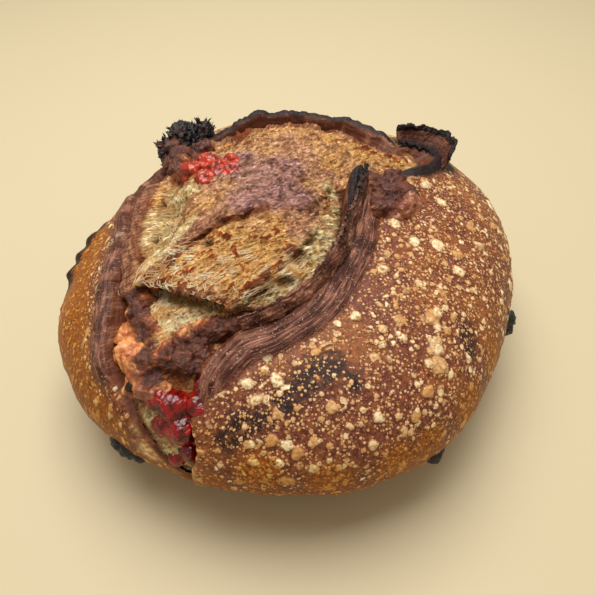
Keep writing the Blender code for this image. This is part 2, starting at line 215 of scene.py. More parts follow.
def curve_through(rows, closed=False, steps=STEPS):
    """A smooth curve through rows of numbers, by Catmull and Rom's formula."""
    rows = np.asarray(rows, float)
    if closed:
        rows = np.concatenate([rows[-1:], rows, rows[:2]])
    else:
        rows = np.concatenate([2 * rows[:1] - rows[1:2], rows, 2 * rows[-1:] - rows[-2:-1]])
    found = []
    for a, b, c, d in zip(rows, rows[1:], rows[2:], rows[3:]):
        t = np.linspace(0, 1, steps, endpoint=False)[:, None]
        cubic = (2 * a - 5 * b + 4 * c - d) * t**2 + (3 * b - a - 3 * c + d) * t**3
        found.append(0.5 * (2 * b + (c - a) * t + cubic))
    if not closed:
        found.append(rows[-2:-1])
    return np.concatenate(found)


def nearest_on(points, line, closed=False):
    """The place along a line that is nearest to each point, as a fractional index, and its distance."""
    tree = kdtree.KDTree(len(line))
    for index, knot in enumerate(line):
        tree.insert(knot, index)
    tree.balance()
    first = np.fromiter((tree.find(point)[1] for point in points), int, len(points))
    count = len(line)
    place, gap = first.astype(float), np.full(len(points), np.inf)
    for step in (-1, 0):
        start = (first + step) % count if closed else np.clip(first + step, 0, count - 2)
        run = line[(start + 1) % count] - line[start]
        share = ((points - line[start]) * run).sum(1) / np.maximum((run * run).sum(1), 1e-18)
        share = np.clip(share, 0, 1)
        distance = np.linalg.norm(points - line[start] - run * share[:, None], axis=1)
        place = np.where(distance < gap, start + share, place)
        gap = np.minimum(gap, distance)
    return place, gap


def rows_at(rows, place):
    """Rows of numbers read at fractional indexes; past the last row the first one follows."""
    low = np.floor(place).astype(int)
    share = (place - low).reshape((-1,) + (1,) * (rows.ndim - 1))
    return rows[low % len(rows)] * (1 - share) + rows[(low + 1) % len(rows)] * share


def inside_map(points, outline):
    """Which points of the flat map lie inside the closed outline."""
    inside = np.zeros(len(points), bool)
    x, y = points[:, 0], points[:, 1]
    for (ax, ay), (bx, by) in zip(outline, np.roll(outline, -1, axis=0)):
        crosses = (ay > y) != (by > y)
        slope = (bx - ax) / (by - ay) if by != ay else 0.0
        inside ^= crosses & (x < ax + (y - ay) * slope)
    return inside


def smooth_step(x):
    x = np.clip(x, 0, 1)
    return x * x * (3 - 2 * x)


def lumpiness(points, size, octaves):
    """Noise of about -1 to 1 with lumps of that size and finer ones on them."""
    return np.array([noise.fractal(Vector(p / size), 0.9, 2.1, octaves) for p in points - CENTRE])


def waviness(points, size):
    """Plain noise of about -1 to 1 with waves of that size."""
    return np.array([noise.noise(Vector(p / size)) for p in points - CENTRE])


print("steps between two knots:", STEPS)

# %% [markdown]
# The edge of the opening is where the blade cut. As the loaf grew, the cut edge lifted into ears,
# thin lips of crust that lean over the torn crumb with a dark groove beneath. Each knot says how
# far the ear lifts, how far it leans, how deep the groove is, how wide the smooth stretched band
# behind the rim is, and how much of the rim burnt, all in millimetres.

# %% The edge of the opening
OPENING_EDGE = (
    (-109.5, 94, 2, 0.5, 1, 0, 0),
    (-107, 84, 2, 1, 3, 0, 0),
    (-109, 78, 3, 1.2, 4, 0.5, 0.3),
    (-109.5, 72, 4.5, 2, 7, 7, 1),
    (-105.5, 65.5, 4, 2, 9, 11, 1.5),
    (-97, 62, 2.5, 1, 9, 11, 1),
    (-85, 56.3, 2.5, 1, 8, 12, 1),
    (-73, 47.5, 3, 1.5, 7, 13, 1.5),
    (-58, 39.5, 4, 2, 7, 13, 2),
    (-36, 31.5, 6, 3, 7, 12, 3),
    (-10, 27.5, 8, 3, 7, 11, 5),
    (14, 28.5, 9, 1.5, 6, 9, 7),
    (24, 36, 4, 0.5, 4, 5, 2),
    (20, 44, 3, 0.5, 4, 3, 1),
    (21, 53, 9, -1.5, 8, 5, 7),
    (29, 63, 6, -1.5, 4, 8, 8),
    (36, 67, 5, -1.5, 3, 8, 6),
    (41.5, 65.5, 4, -1, 3, 6, 5),
    (44.5, 62, 0.5, 0, 3, 2, 2),
    (52, 60, 5, 0.5, 2, 5, 4),
    (70, 59, 8, 2.5, -2, 8, 5),
    (92, 57, 9, 3, -3, 9, 5),
    (112, 57.5, 9, 3, -3, 9, 5),
    (124, 59, 6, 2, -1, 6, 4),
    (143, 68, 3, 1, 3, 4, 1),
    (152, 73, 3, 0.5, 4, 4, 0.5),
    (172, 68.5, 3.5, 0.3, 5, 4, 1),
    (-168, 66.5, 3.5, 0.3, 5, 4, 1),
    (-150, 69, 4, 0.3, 6, 4.5, 1.5),
    (-138, 74, 4.5, 0.3, 7, 4.5, 1.5),
    (-132, 78, 4, 0.3, 6, 4, 1),
    (-127, 81, 1.5, 0.5, 3, 0, 0.5),
    (-120, 86, 0.5, 0, 1, 0, 0),
    (-114, 92, 0.5, 0, 1, 0, 0),
)
# The ear rises over a ramp of this width, and its ragged rim has long and short waves.
EAR_RAMP = 24 * MM
RAGGED_LONG, RAGGED_SHORT, RAGGED_FINE = 13 * MM, 5 * MM, 1.8 * MM
# The stretched band: a bulge and a dip beyond it, as shares of the band's width.
BAND_HEIGHT, BAND_DIP = 0.8 * MM, 0.9 * MM
LEAN_REACH = 11 * MM
# Inside the rim the lip is this thick, then tucks back under itself to the groove's bottom.
LIP_THICKNESS = 1.4 * MM
UNDERCUT = 4.5 * MM
TUCK = 3.6 * MM
GROOVE_WIDTH = 8 * MM
CRUMB_SWELL, SWELL_REACH = 9 * MM, 26 * MM

edge = curve_through(on_map(OPENING_EDGE), closed=True)
edge_points = spot(*from_map(edge[:, :2]))
edge_runs = np.linalg.norm(np.roll(edge_points, -1, axis=0) - edge_points, axis=1)
edge_lengths = np.concatenate([[0], np.cumsum(edge_runs)])
ragged = waviness(edge_points, RAGGED_LONG) + 0.35 * waviness(edge_points, RAGGED_SHORT)
ragged_fine = waviness(edge_points, RAGGED_FINE)
along_edge = np.roll(edge_points, -1, axis=0) - np.roll(edge_points, 1, axis=0)
edge_inward = np.cross(edge_points - CENTRE, along_edge)
edge_inward /= np.linalg.norm(edge_inward, axis=1)[:, None]
print("the opening's edge is", round(float(edge_runs.sum()), 3), "m long")

# %% [markdown]
# The torn crumb isn't smooth. A second ridge runs inside the left ear, the dough folded into
# creases and one big ledge with a hollow beneath, and bubbles broke open. Folds are runs of knots
# with a height, a reach to the left and to the right, and a lean; hollows are spots with a radius.

# %% Folds, ledges and hollows
# Height, reach to the left and right of the run, lean to the right, in millimetres, and the run.
FOLDS = {
    "inner_ridge": (7.5, 2.6, 5.5, -1.5, (
        (-141, 69), (-145.8, 66.5), (-152.5, 64), (-162.5, 61.4), (-173.9, 60.4), (171.1, 62),
        (156.3, 65.5))),
    "smooth_ridge": (3.2, 4.5, 2.2, 1.2, (
        (-140.2, 62), (-139.9, 60), (-140.4, 54.3), (-142.1, 47.2), (-142, 35.1), (-133.9, 24.6))),
    "front_ledge": (6.5, 13, 1.6, 3.2, (
        (-143.5, 62.5), (-141.3, 61), (-135, 59.3), (-127.2, 57.2), (-120.3, 56.2), (-112.6, 56.8),
        (-108.1, 58.4))),
    "back_ledge": (2.5, 3, 8, 0, ((130, 46), (112, 49), (92, 49.5), (70, 50), (52, 50))),
    "back_second_rim": (4.5, 1.6, 1.8, 1.5, ((138, 60), (124, 53), (108, 52), (92, 51.5), (74, 51))),
    "top_crease": (2.2, 3, 1.4, 1, ((-100, 18), (-60, 12), (20, 14), (50, 26))),
    "right_crease": (2.0, 4, 1.4, 1, ((-104, 50), (-98, 44), (-90, 36), (-70, 26))),
}
# Each fold fades at its ends, over this share of its run.
FOLD_FADE = 0.12
# Bearing, tilt, radius and depth.
HOLLOWS = (
    (-134.8, 62.9, 6 * MM, 6 * MM),
    (-130.5, 61.8, 7 * MM, 9 * MM),
    (-125, 60.8, 7 * MM, 9 * MM),
    (-119, 60.5, 6 * MM, 6 * MM),
    (-120, 66, 12 * MM, 3.5 * MM),
    (-152, 55.5, 6.5 * MM, 4 * MM),
    (-160, 53, 8 * MM, 5 * MM),
    (-172, 51.5, 9 * MM, 6 * MM),
    (170, 53, 8 * MM, 4 * MM),
    (-95.7, 51.1, 3.2 * MM, 5 * MM),
    (26, 27, 4.2 * MM, 5 * MM),
    (-179.5, 56.3, 2.0 * MM, 4 * MM),
    (-171.1, 53.1, 2.4 * MM, 4.5 * MM),
    (-157.8, 58, 2.0 * MM, 3.5 * MM),
    (-133.6, 46.6, 2.6 * MM, 2.5 * MM),
    (-86, 43, 5 * MM, 2 * MM),
    (-107, 62, 5 * MM, 3 * MM),
)
# The burnt, bumpy ridge on the left side.
BURNT_RIDGE = ((173, 76), (-179, 78), (-172, 80.5), (-165, 82.5))
BURNT_HEIGHT, BURNT_REACH, BURNT_BUMPS = 4 * MM, 5.5 * MM, 4
# Unevenness of crust and crumb: size of the lumps and how high they stand.
CRUST_LUMP, CRUST_RISE = 42 * MM, 1.6 * MM
CRUMB_LUMP, CRUMB_RISE = 9 * MM, 1.3 * MM


def line_on_dome(knots):
    """The flat-map curve through knots of bearing and tilt, and its points on the bare dome."""
    path = curve_through(on_map(knots))
    return path, spot(*from_map(path))


def folds(ways, bare):
    """How far the folds raise the crumb, and which way and how far they lean it."""
    raised, leaned = np.zeros(len(bare)), np.zeros((len(bare), 3))
    here = flat_map(ways)
    for height, left, right, lean, knots in FOLDS.values():
        path, path_points = line_on_dome(knots)
        place, distance = nearest_on(bare, path_points)
        run = rows_at(np.gradient(path, axis=0), place)
        offset = here - rows_at(path, np.minimum(place, len(path) - 1.001))
        side = run[:, 0] * offset[:, 1] - run[:, 1] * offset[:, 0]
        share = place / (len(path) - 1)
        fade = smooth_step(share / FOLD_FADE) * smooth_step((1 - share) / FOLD_FADE)
        weight = fade * np.exp(-((distance / (np.where(side > 0, left, right) * MM)) ** 2))
        raised += height * MM * weight
        rightward = np.cross(np.gradient(path_points, axis=0), path_points - CENTRE)
        rightward /= np.linalg.norm(rightward, axis=1)[:, None]
        leaned += rows_at(rightward, place) * (lean * MM * weight)[:, None]
    return raised, leaned


def hollow_depth(bare):
    """How deep the hollows and bubbles sink the crumb."""
    total = np.zeros(len(bare))
    for bearing, tilt, radius, depth in HOLLOWS:
        gap = np.linalg.norm(bare - spot(bearing, tilt), axis=1)
        total = np.maximum(total, depth * np.exp(-((gap / radius) ** 4)))
    return total


def burnt_rise(bare):
    """How far the burnt ridge stands out from the left side."""
    place, distance = nearest_on(bare, line_on_dome(BURNT_RIDGE)[1])
    share = place / (STEPS * (len(BURNT_RIDGE) - 1))
    bumps = 0.75 + 0.25 * np.sin(share * 2 * np.pi * BURNT_BUMPS)
    ends = smooth_step(share / 0.2) * smooth_step((1 - share) / 0.2)
    return BURNT_HEIGHT * bumps * ends * np.exp(-((distance / BURNT_REACH) ** 2))


def edge_of(ways, bare):
    """Where each point lies along the opening's edge, and how far outside it, or below 0 inside."""
    place, distance = nearest_on(bare, edge_points, closed=True)
    return place, np.where(inside_map(flat_map(ways), edge[:, :2]), -distance, distance)


def loaf_surface(ways):
    """The loaf's surface for unit vectors from its centre, with ears, groove, folds and crumb."""
    bare = CENTRE + ways * dome_radius(ways)[:, None]
    place, outward = edge_of(ways, bare)
    lift, lean, groove, band = (rows_at(edge[:, 2:6], place) * MM).T
    wave = rows_at(ragged, place)
    lift = lift * (1 + 0.4 * wave + 0.12 * rows_at(ragged_fine, place))
    lean = lean * (1 + 0.6 * wave)

    across = np.maximum(outward, 0) / np.maximum(band, 4 * MM)
    bulge = BAND_HEIGHT * np.exp(-(((across - 0.4) / 0.33) ** 2))
    bulge -= BAND_DIP * np.exp(-(((across - 1.0) / 0.2) ** 2))
    bulge *= smooth_step((band - 4 * MM) / (7 * MM))

    depth = np.maximum(-outward, 0)
    step = depth / UNDERCUT
    blunt = smooth_step(step / 0.35) * np.minimum(LIP_THICKNESS, 0.5 * lift)
    turn = smooth_step((step - 0.2) / 0.8)
    past = np.maximum(depth - UNDERCUT, 0)
    fading = np.exp(-past / GROOVE_WIDTH)
    below = -groove * fading + CRUMB_SWELL * (1 - np.exp(-((past / SWELL_REACH) ** 2)))
    tuck = TUCK * np.clip(lift / (5 * MM), 0, 1)
    under = lean * (1 - smooth_step((step - 0.3) / 0.6)) - tuck * turn * fading
    inside = outward < 0
    rise = np.where(inside, (lift - blunt) * (1 - turn) + below * turn,
                    lift * np.clip(1 - outward / EAR_RAMP, 0, 1) ** 2 + bulge)
    over = np.where(inside, under, lean * np.clip(1 - outward / LEAN_REACH, 0, 1) ** 2)

    crumb = smooth_step((depth - UNDERCUT) / UNDERCUT)
    raised, leaned = folds(ways, bare)
    rise += (raised - hollow_depth(bare)) * crumb
    rise += crumb * CRUMB_RISE * lumpiness(bare, CRUMB_LUMP, 3)
    rise += (1 - crumb) * CRUST_RISE * lumpiness(bare, CRUST_LUMP, 2)
    shaped = bare + ways * rise[:, None] + rows_at(edge_inward, place) * over[:, None]
    shaped += leaned * crumb[:, None] + ways * burnt_rise(bare)[:, None]
    shaped[:, 2] = np.maximum(shaped[:, 2], 0)
    return shaped


print("folds:", len(FOLDS), "hollows:", len(HOLLOWS))

# %% [markdown]
# The loaf starts as a ball made of triangles, the most even mesh for a round form. Everything above
# the base is subdivided once more, and the rim, which folds back under itself, twice more. Then
# every point is moved along its direction to the loaf's surface.

# %% The loaf's skin
BALL_SUBDIVISIONS = 7
BASE_TILT = 112
RIM_OUTSIDE, RIM_INSIDE = 1.5 * MM, 5.5 * MM
LEDGE_REACH = 5 * MM


def points_of(piece):
    flat = np.empty(len(piece.data.vertices) * 3, np.float32)
    piece.data.vertices.foreach_get("co", flat)
    return flat.reshape(-1, 3).astype(float)


def set_points(piece, points):
    piece.data.vertices.foreach_set("co", np.ascontiguousarray(points, np.float32).ravel())
    piece.data.update()


def corners_of(piece):
    """The three corner numbers of each triangle."""
    flat = np.empty(len(piece.data.loops), np.int32)
    piece.data.loops.foreach_get("vertex_index", flat)
    return flat.reshape(-1, 3)


def select_faces(piece, chosen):
    """Makes a piece the only active one, selects just these faces and enters edit mode."""
    bpy.ops.object.select_all(action="DESELECT")
    bpy.context.view_layer.objects.active = piece
    piece.select_set(True)
    bpy.context.tool_settings.mesh_select_mode = (False, False, True)
    piece.data.vertices.foreach_set("select", np.zeros(len(piece.data.vertices), bool))
    piece.data.edges.foreach_set("select", np.zeros(len(piece.data.edges), bool))
    piece.data.polygons.foreach_set("select", chosen)
    bpy.ops.object.mode_set(mode="EDIT")


def ways_of(points):
    return points / np.linalg.norm(points, axis=1)[:, None]


def subdivide_where(ball, wanted):
    """Halves the edges of the faces whose corners are all wanted."""
    select_faces(ball, wanted[corners_of(ball)].all(axis=1))
    bpy.ops.mesh.subdivide()
    bpy.ops.mesh.select_all(action="SELECT")
    bpy.ops.mesh.quads_convert_to_tris()
    bpy.ops.object.mode_set(mode="OBJECT")


def near_folds_of_skin(ways):
    """Points where the surface turns back under itself: the rim and the front ledge."""
    bare = CENTRE + ways * dome_radius(ways)[:, None]
    outward = edge_of(ways, bare)[1]
    *_, ledge_run = FOLDS["front_ledge"]
    ledge = nearest_on(bare, line_on_dome(ledge_run)[1])[1]
    return ((outward < RIM_OUTSIDE) & (outward > -RIM_INSIDE)) | (ledge < LEDGE_REACH)


def make_skin():
    bpy.ops.mesh.primitive_ico_sphere_add(subdivisions=BALL_SUBDIVISIONS, radius=1)
    ball = bpy.context.object
    ball.name = "crust"
    above = ways_of(points_of(ball))[:, 2] > math.cos(math.radians(BASE_TILT))
    subdivide_where(ball, above)
    subdivide_where(ball, near_folds_of_skin(ways_of(points_of(ball))))
    return ball


crust = make_skin()
skin_ways = ways_of(points_of(crust))
set_points(crust, loaf_surface(skin_ways))
print("skin:", len(crust.data.polygons), "triangles")

# %% [markdown]
# The finishes need to know where they are. So each point keeps where it lay on the smooth bare
# dome, its run along the edge and across it, and how strongly it lies in each zone: a band of
# stretched crust, a burnt rim, pale crumb, a stain of berry juice. Zones are drawn as round spots
# and as strokes, with soft borders that the finishes later make ragged.

# %% Zones of colour
# Spots: bearing, tilt and reach in millimetres. Strokes: reach, then knots of bearing and tilt.
CRUST_ZONES = {
    "soot": {
        "spots": ((-86, 70, 7), (-89, 72, 6), (-82, 69, 6), (-92, 74, 6), (-97, 77, 5), (-101, 78, 6),
                  (-103, 80, 5), (-44, 75, 6), (-46, 77, 4), (-78, 72, 4)),
    },
    "golden": {
        "spots": ((-97, 86, 9), (-84, 88, 9), (-71, 88, 9), (-64, 87, 8), (-106, 92, 8), (-52, 86, 9),
                  (-37, 85, 9), (-116, 86, 7)),
        "strokes": (
            (13, ((-60, 97), (-80, 98), (-100, 98), (-120, 97), (-140, 97), (-160, 97), (180, 97))),
            (11, ((-160, 84), (-143, 85), (-128, 88))),
            (11, ((-176, 76), (-160, 77), (-145, 80), (-136, 84))),
            (8, ((-60, 95), (-30, 95), (0, 97), (40, 99), (90, 99), (140, 98), (180, 97))),
        ),
    },
    "streaky": {
        "strokes": (
            (24, ((165, 85), (-176, 82), (-160, 83), (-143, 85), (-128, 90))),
            (12, ((-120, 94), (-100, 96), (-80, 96))),
        ),
    },
    "torn": {
        "spots": ((-120, 83, 4), (-115, 84, 6), (-111, 89, 6), (-118, 88, 5)),
    },
    "burnt": {
        "spots": ((36, 72, 7), (42, 70, 7), (28, 68, 6), (47, 66, 6), (140, 67, 7), (148, 68, 6)),
        "strokes": ((4.5, BURNT_RIDGE),),
    },
    "blistered": {
        "spots": ((-47, 65, 16), (-30, 60, 16), (-63, 76, 12), (-55, 62, 12), (-10, 58, 14), (-105, 84, 6)),
    },
}
CRUMB_ZONES = {
    "pale": {
        "spots": ((-116, 82, 5), (-113, 86, 5), (-112, 90, 5), (-119, 81, 4), (-148, 57.5, 6),
                  (-157, 55.5, 8), (-168, 53.3, 9), (-175, 50, 9), (-177, 44.9, 6), (172, 54, 6),
                  (-130.4, 64.5, 7), (-125.5, 66.1, 7), (-120.7, 68.5, 7), (-121.5, 63.6, 6),
                  (-117, 65, 5), (-134, 66, 4), (-105, 56.3, 4), (-100, 54, 6), (-94.1, 51, 6),
                  (-87.4, 44.4, 7), (-81.9, 39.5, 7), (-69.9, 32.2, 6), (-46, 25.1, 5),
                  (-19.2, 22.1, 4), (22, 18, 5)),
        "strokes": ((3, ((-142.5, 57.2), (-146.2, 51.1), (-152.3, 45.1))),),
    },
    # Painted shade inside the deepest bubble holes.
    "pit_shade": {
        "spots": ((-179.5, 56.3, 1.3), (-171.1, 53.1, 1.7), (-157.8, 58, 1.2), (-133.6, 46.6, 1.6),
                  (26, 27, 2.4), (-95.7, 51.1, 2.0)),
    },
    "golden": {
        "spots": ((-133.9, 54.6, 8), (-125.4, 50.2, 9), (-112.6, 49.3, 9), (-123.4, 43.5, 9),
                  (-108.5, 41.9, 9), (-133.5, 41.4, 7), (59, 29.5, 6), (48, 48, 9), (35, 55, 8),
                  (70, 45, 6), (178, 57, 4), (165, 45, 6), (-100, 33, 8)),
    },
    "purple": {
        "spots": ((164.7, 16.5, 11), (-141.3, 15.2, 10), (-149.2, 23.3, 9), (-130.7, 8.4, 10),
                  (155.3, 28.2, 10), (-172.6, 15.8, 11), (120, 14, 9), (146, 34, 8)),
    },
    "rosy": {
        "spots": ((-120, 12, 9), (-86.3, 16.6, 9), (-88, 30, 6), (87, 22.8, 11), (43.9, 20.6, 7),
                  (100, 38, 9), (-178.8, 35.2, 6)),
        "strokes": (
            (4.5, ((-139.9, 60), (-141.5, 54.3), (-144, 47.2), (-146, 35.1), (-140, 24.6), (-120, 15))),
        ),
    },
    "skinned": {
        "strokes": (
            (6, ((-140, 70), (-145.8, 67), (-152.5, 64.6), (-162.5, 62.4), (-173.9, 61.6), (171.1, 63),
                 (156.3, 66.5))),
            (2.4, ((-139.9, 60), (-141, 54.3), (-143.5, 47.2), (-145, 37))),
        ),
    },
    "toasted": {
        "spots": ((-143, 63, 4), (122, 44, 2.5), (80, 46, 2.5), (-107, 61.5, 4), (-110, 64, 5),
                  (-112, 66.5, 6), (-135.5, 68.5, 5), (-131, 72, 8), (-124, 75, 6), (-117, 75, 5),
                  (160, 55, 6), (-104, 53, 3), (-98, 49, 3), (-92, 40, 3), (-115, 57.5, 4)),
        "strokes": (
            (2.2, ((129, 50), (118, 52), (108, 54), (96, 55.5), (84, 54), (72, 53), (56, 54))),
            # Along the front ledge's edge this toasted band is partly painted shade under the ledge.
            (2.5, ((-143.5, 62.5), (-141.3, 61.3), (-135, 60.2), (-127.2, 58.6), (-120.3, 57.8),
                   (-112.6, 58))),
            (1.2, ((-146, 62.5), (-157, 60.5), (-171, 59), (175, 59.5))),
            (1.6, ((-137.5, 55), (-138.5, 48), (-138, 40), (-125, 24))),
        ),
    },
}


def nearness(gap, reach):
    """1 well inside the reach, a half at it and 0 well outside."""
    return smooth_step(1.25 - 0.75 * gap / (reach * MM)) if reach else np.zeros_like(gap)


def zone(bare, spots=(), strokes=()):
    """How strongly each point lies in a zone."""
    total = np.zeros(len(bare))
    for bearing, tilt, reach in spots:
        gap = np.linalg.norm(bare - spot(bearing, tilt), axis=1)
        total = np.maximum(total, nearness(gap, reach))
    for reach, knots in strokes:
        gap = nearest_on(bare, line_on_dome(knots)[1])[1]
        total = np.maximum(total, nearness(gap, reach))
    return total


def keep_value(piece, name, values):
    piece.data.attributes.new(name, "FLOAT", "POINT").data.foreach_set("value", values.astype(np.float32))


def keep_place(piece, name, vectors):
    made = piece.data.attributes.new(name, "FLOAT_VECTOR", "POINT")
    made.data.foreach_set("vector", np.ascontiguousarray(vectors, np.float32).ravel())


def keep_places(piece, ways):
    """Keeps each point's place on the bare dome and along the edge, in millimetres."""
    bare = CENTRE + ways * dome_radius(ways)[:, None]
    place, outward = edge_of(ways, bare)
    run = np.interp(place, np.arange(len(edge_lengths)), edge_lengths)
    keep_place(piece, "skin", bare / MM)
    keep_place(piece, "run", np.column_stack([run / MM, outward / MM, np.zeros(len(run))]))
    band, burnt = (rows_at(edge[:, 5:7], place) * MM).T
    wide = np.maximum(band, 0.1 * MM)
    keep_value(piece, "band", smooth_step((wide - outward) / (4 * MM) + 0.5) * smooth_step(band / (5 * MM)))
    from_rim = np.where(outward < 0, -2.5 * outward, outward)
    charred = smooth_step(1.3 - from_rim / np.maximum(burnt, 0.3 * MM)) * smooth_step(burnt / (4 * MM))
    keep_value(piece, "rim", charred)
    keep_value(piece, "under", smooth_step((-outward - 0.7 * MM) / (2.2 * MM)))
    return bare


bare_skin = keep_places(crust, skin_ways)
print("kept places of", len(bare_skin), "points")

# %% [markdown]
# The skin is parted where its finish changes: the torn crumb inside the opening, the floury base on
# the stone, and the crust between them, which keeps the ears down to the groove's dark bottom.

# %% Crust, crumb and base


def part_off(piece, chosen, name):
    """Parts the chosen faces off as a piece of their own."""
    before = set(bpy.data.objects)
    select_faces(piece, chosen)
    bpy.ops.mesh.separate(type="SELECTED")
    bpy.ops.object.mode_set(mode="OBJECT")
    (made,) = set(bpy.data.objects) - before
    made.name = name
    return made


def value_of(piece, name):
    flat = np.empty(len(piece.data.vertices), np.float32)
    piece.data.attributes[name].data.foreach_get("value", flat)
    return flat


def place_of(piece, name):
    flat = np.empty(len(piece.data.vertices) * 3, np.float32)
    piece.data.attributes[name].data.foreach_get("vector", flat)
    return flat.reshape(-1, 3).astype(float)


def keep_zones(piece, zones):
    bare = place_of(piece, "skin") * MM
    for name, drawn in zones.items():
        keep_value(piece, name, zone(bare, **drawn))


def tilt_of(piece):
    return np.degrees(np.arccos(ways_of(place_of(piece, "skin") * MM - CENTRE)[:, 2]))


def outward_of(piece):
    """How far outside the opening's edge each point lies, or below 0 inside it."""
    return place_of(piece, "run")[:, 1] * MM


inside_groove = (outward_of(crust) < -UNDERCUT)[corners_of(crust)].all(axis=1)
crumb = part_off(crust, inside_groove, "crumb")
on_stone = (tilt_of(crust) > BASE_TILT)[corners_of(crust)].any(axis=1)
base = part_off(crust, on_stone, "base")
keep_zones(crust, CRUST_ZONES)
keep_zones(crumb, CRUMB_ZONES)
for piece in (crust, crumb, base):
    print(piece.name, len(piece.data.polygons), "triangles")

# %% [markdown]
# The same small node recipes serve twice: a geometry tree raises the surface with them, and a
# finish colours it with them, so each blister's bump and its pale skin fall together. These
# helpers add a node and wire it in one line, in either kind of tree.

# %% Helpers for nodes


def add(tree, kind, inputs=None, **settings):
    """Adds a node, gives its settings, and links or fills its inputs."""
    node = tree.nodes.new(kind)
    for name, value in settings.items():
        setattr(node, name, value)
    for name, value in (inputs or {}).items():
        if isinstance(value, bpy.types.NodeSocket):
            tree.links.new(value, node.inputs[name])
        else:
            node.inputs[name].default_value = value
    return node


def maths(tree, operation, *values, clamp=False):
    inputs = dict(enumerate(values))
    return add(tree, "ShaderNodeMath", inputs, operation=operation, use_clamp=clamp).outputs[0]


def times(tree, one, other):
    return maths(tree, "MULTIPLY", one, other)


def times_plus(tree, one, other, more):
    """One value times another, plus a third."""
    return maths(tree, "MULTIPLY_ADD", one, other, more)


def less(tree, value):
    """What a share from 0 to 1 leaves over."""
    return maths(tree, "SUBTRACT", 1.0, value, clamp=True)


def vectors(tree, operation, *values):
    return add(tree, "ShaderNodeVectorMath", dict(enumerate(values)), operation=operation).outputs[0]


def ramp(tree, value, low, high, start=0.0, end=1.0):
    """The value's smooth way from low to high, turned into start to end."""
    inputs = {"Value": value, "From Min": low, "From Max": high, "To Min": start, "To Max": end}
    return add(tree, "ShaderNodeMapRange", inputs, interpolation_type="SMOOTHSTEP").outputs[0]


def mix(tree, share, one, other):
    """One colour turning into the other."""
    return add(tree, "ShaderNodeMix", {0: share, 6: one, 7: other}, data_type="RGBA").outputs[2]


def shade(tree, share, colour, by):
    """A colour multiplied by another, in part."""
    settings = {"data_type": "RGBA", "blend_type": "MULTIPLY"}
    return add(tree, "ShaderNodeMix", {0: share, 6: colour, 7: by}, **settings).outputs[2]


def speckled(tree, colour, value, low, high, dark, light, share=1.0):
    """A colour made darker where a noise is low and lighter where it is high."""
    tint = mix(tree, ramp(tree, value, low, high), (*dark, 1), (light, light, light, 1))
    return shade(tree, share, colour, tint)


def read(tree, name):
    """A value or a place that the piece keeps at its points."""
    is_place = name in ("skin", "run")
    if tree.bl_idname == "ShaderNodeTree":
        node = add(tree, "ShaderNodeAttribute", attribute_name=name)
        return node.outputs["Vector" if is_place else "Fac"]
    kind = "FLOAT_VECTOR" if is_place else "FLOAT"
    return add(tree, "GeometryNodeInputNamedAttribute", {"Name": name}, data_type=kind).outputs[0]


def stretched(tree, place, sizes, turn=(0, 0, 0)):
    """A place turned, then measured in steps of these sizes, in millimetres."""
    if any(turn):
        inputs = {"Vector": place, "Rotation": tuple(math.radians(angle) for angle in turn)}
        place = add(tree, "ShaderNodeVectorRotate", inputs, rotation_type="EULER_XYZ").outputs[0]
    return vectors(tree, "DIVIDE", place, tuple(float(size) for size in sizes))


def grain(tree, place, size, detail=3.0, rough=0.55, twist=0.0):
    """Noise from 0 to 1 with grains of that size in millimetres."""
    inputs = {"Vector": place, "Scale": 1 / size, "Detail": detail, "Roughness": rough, "Distortion": twist}
    return add(tree, "ShaderNodeTexNoise", inputs).outputs[0]


def wobbled(tree, place, scale, detail, reach):
    """A place shifted by a noise, so that cells cut from it get uneven outlines."""
    inputs = {"Vector": place, "Scale": scale, "Detail": detail}
    shift = add(tree, "ShaderNodeTexNoise", inputs).outputs["Color"]
    inputs = {0: shift, 1: (reach, reach, reach), 2: place}
    return add(tree, "ShaderNodeVectorMath", inputs, operation="MULTIPLY_ADD").outputs[0]


def ridges(tree, value, width):
    """Thin ridges where a noise crosses its middle, from 0 to 1."""
    away = maths(tree, "ABSOLUTE", maths(tree, "SUBTRACT", value, 0.5))
    return ramp(tree, away, 0.0, width, 1.0, 0.0)


def patchy(tree, share, noise_value, raggedness=0.8, softness=0.22):
    """A zone whose border a noise makes ragged."""
    shift = times_plus(tree, noise_value, raggedness, -0.5 * raggedness)
    return ramp(tree, maths(tree, "ADD", share, shift), 0.5 - softness, 0.5 + softness)


def paint(red, green, blue):
    """A colour as seen on screen, from 0 to 255, in the linear units that nodes use."""
    def linear(part):
        part /= 255
        return part / 12.92 if part <= 0.04045 else ((part + 0.055) / 1.055) ** 2.4
    return (linear(red), linear(green), linear(blue), 1.0)


def raise_surface(piece, name, height_of):
    """Raises a piece along its normals by a height in millimetres, and applies that."""
    tree = bpy.data.node_groups.new(name, "GeometryNodeTree")
    tree.interface.new_socket("Geometry", in_out="INPUT", socket_type="NodeSocketGeometry")
    tree.interface.new_socket("Geometry", in_out="OUTPUT", socket_type="NodeSocketGeometry")
    start = add(tree, "NodeGroupInput")
    normal = add(tree, "GeometryNodeInputNormal").outputs[0]
    height = times(tree, height_of(tree), MM)
    offset = add(tree, "ShaderNodeVectorMath", {0: normal, 3: height}, operation="SCALE").outputs[0]
    moved = add(tree, "GeometryNodeSetPosition", {"Geometry": start.outputs[0], "Offset": offset})
    add(tree, "NodeGroupOutput", {"Geometry": moved.outputs[0]})
    bpy.context.view_layer.objects.active = piece
    piece.modifiers.new(name, "NODES").node_group = tree
    bpy.ops.object.modifier_apply(modifier=name)
    bpy.data.node_groups.remove(tree)


def new_finish(name, roughness):
    """A new material, its tree and its shader."""
    made = bpy.data.materials.new(name)
    made.use_nodes = True
    shader = made.node_tree.nodes["Principled BSDF"]
    shader.inputs["Roughness"].default_value = roughness
    return made, made.node_tree, shader


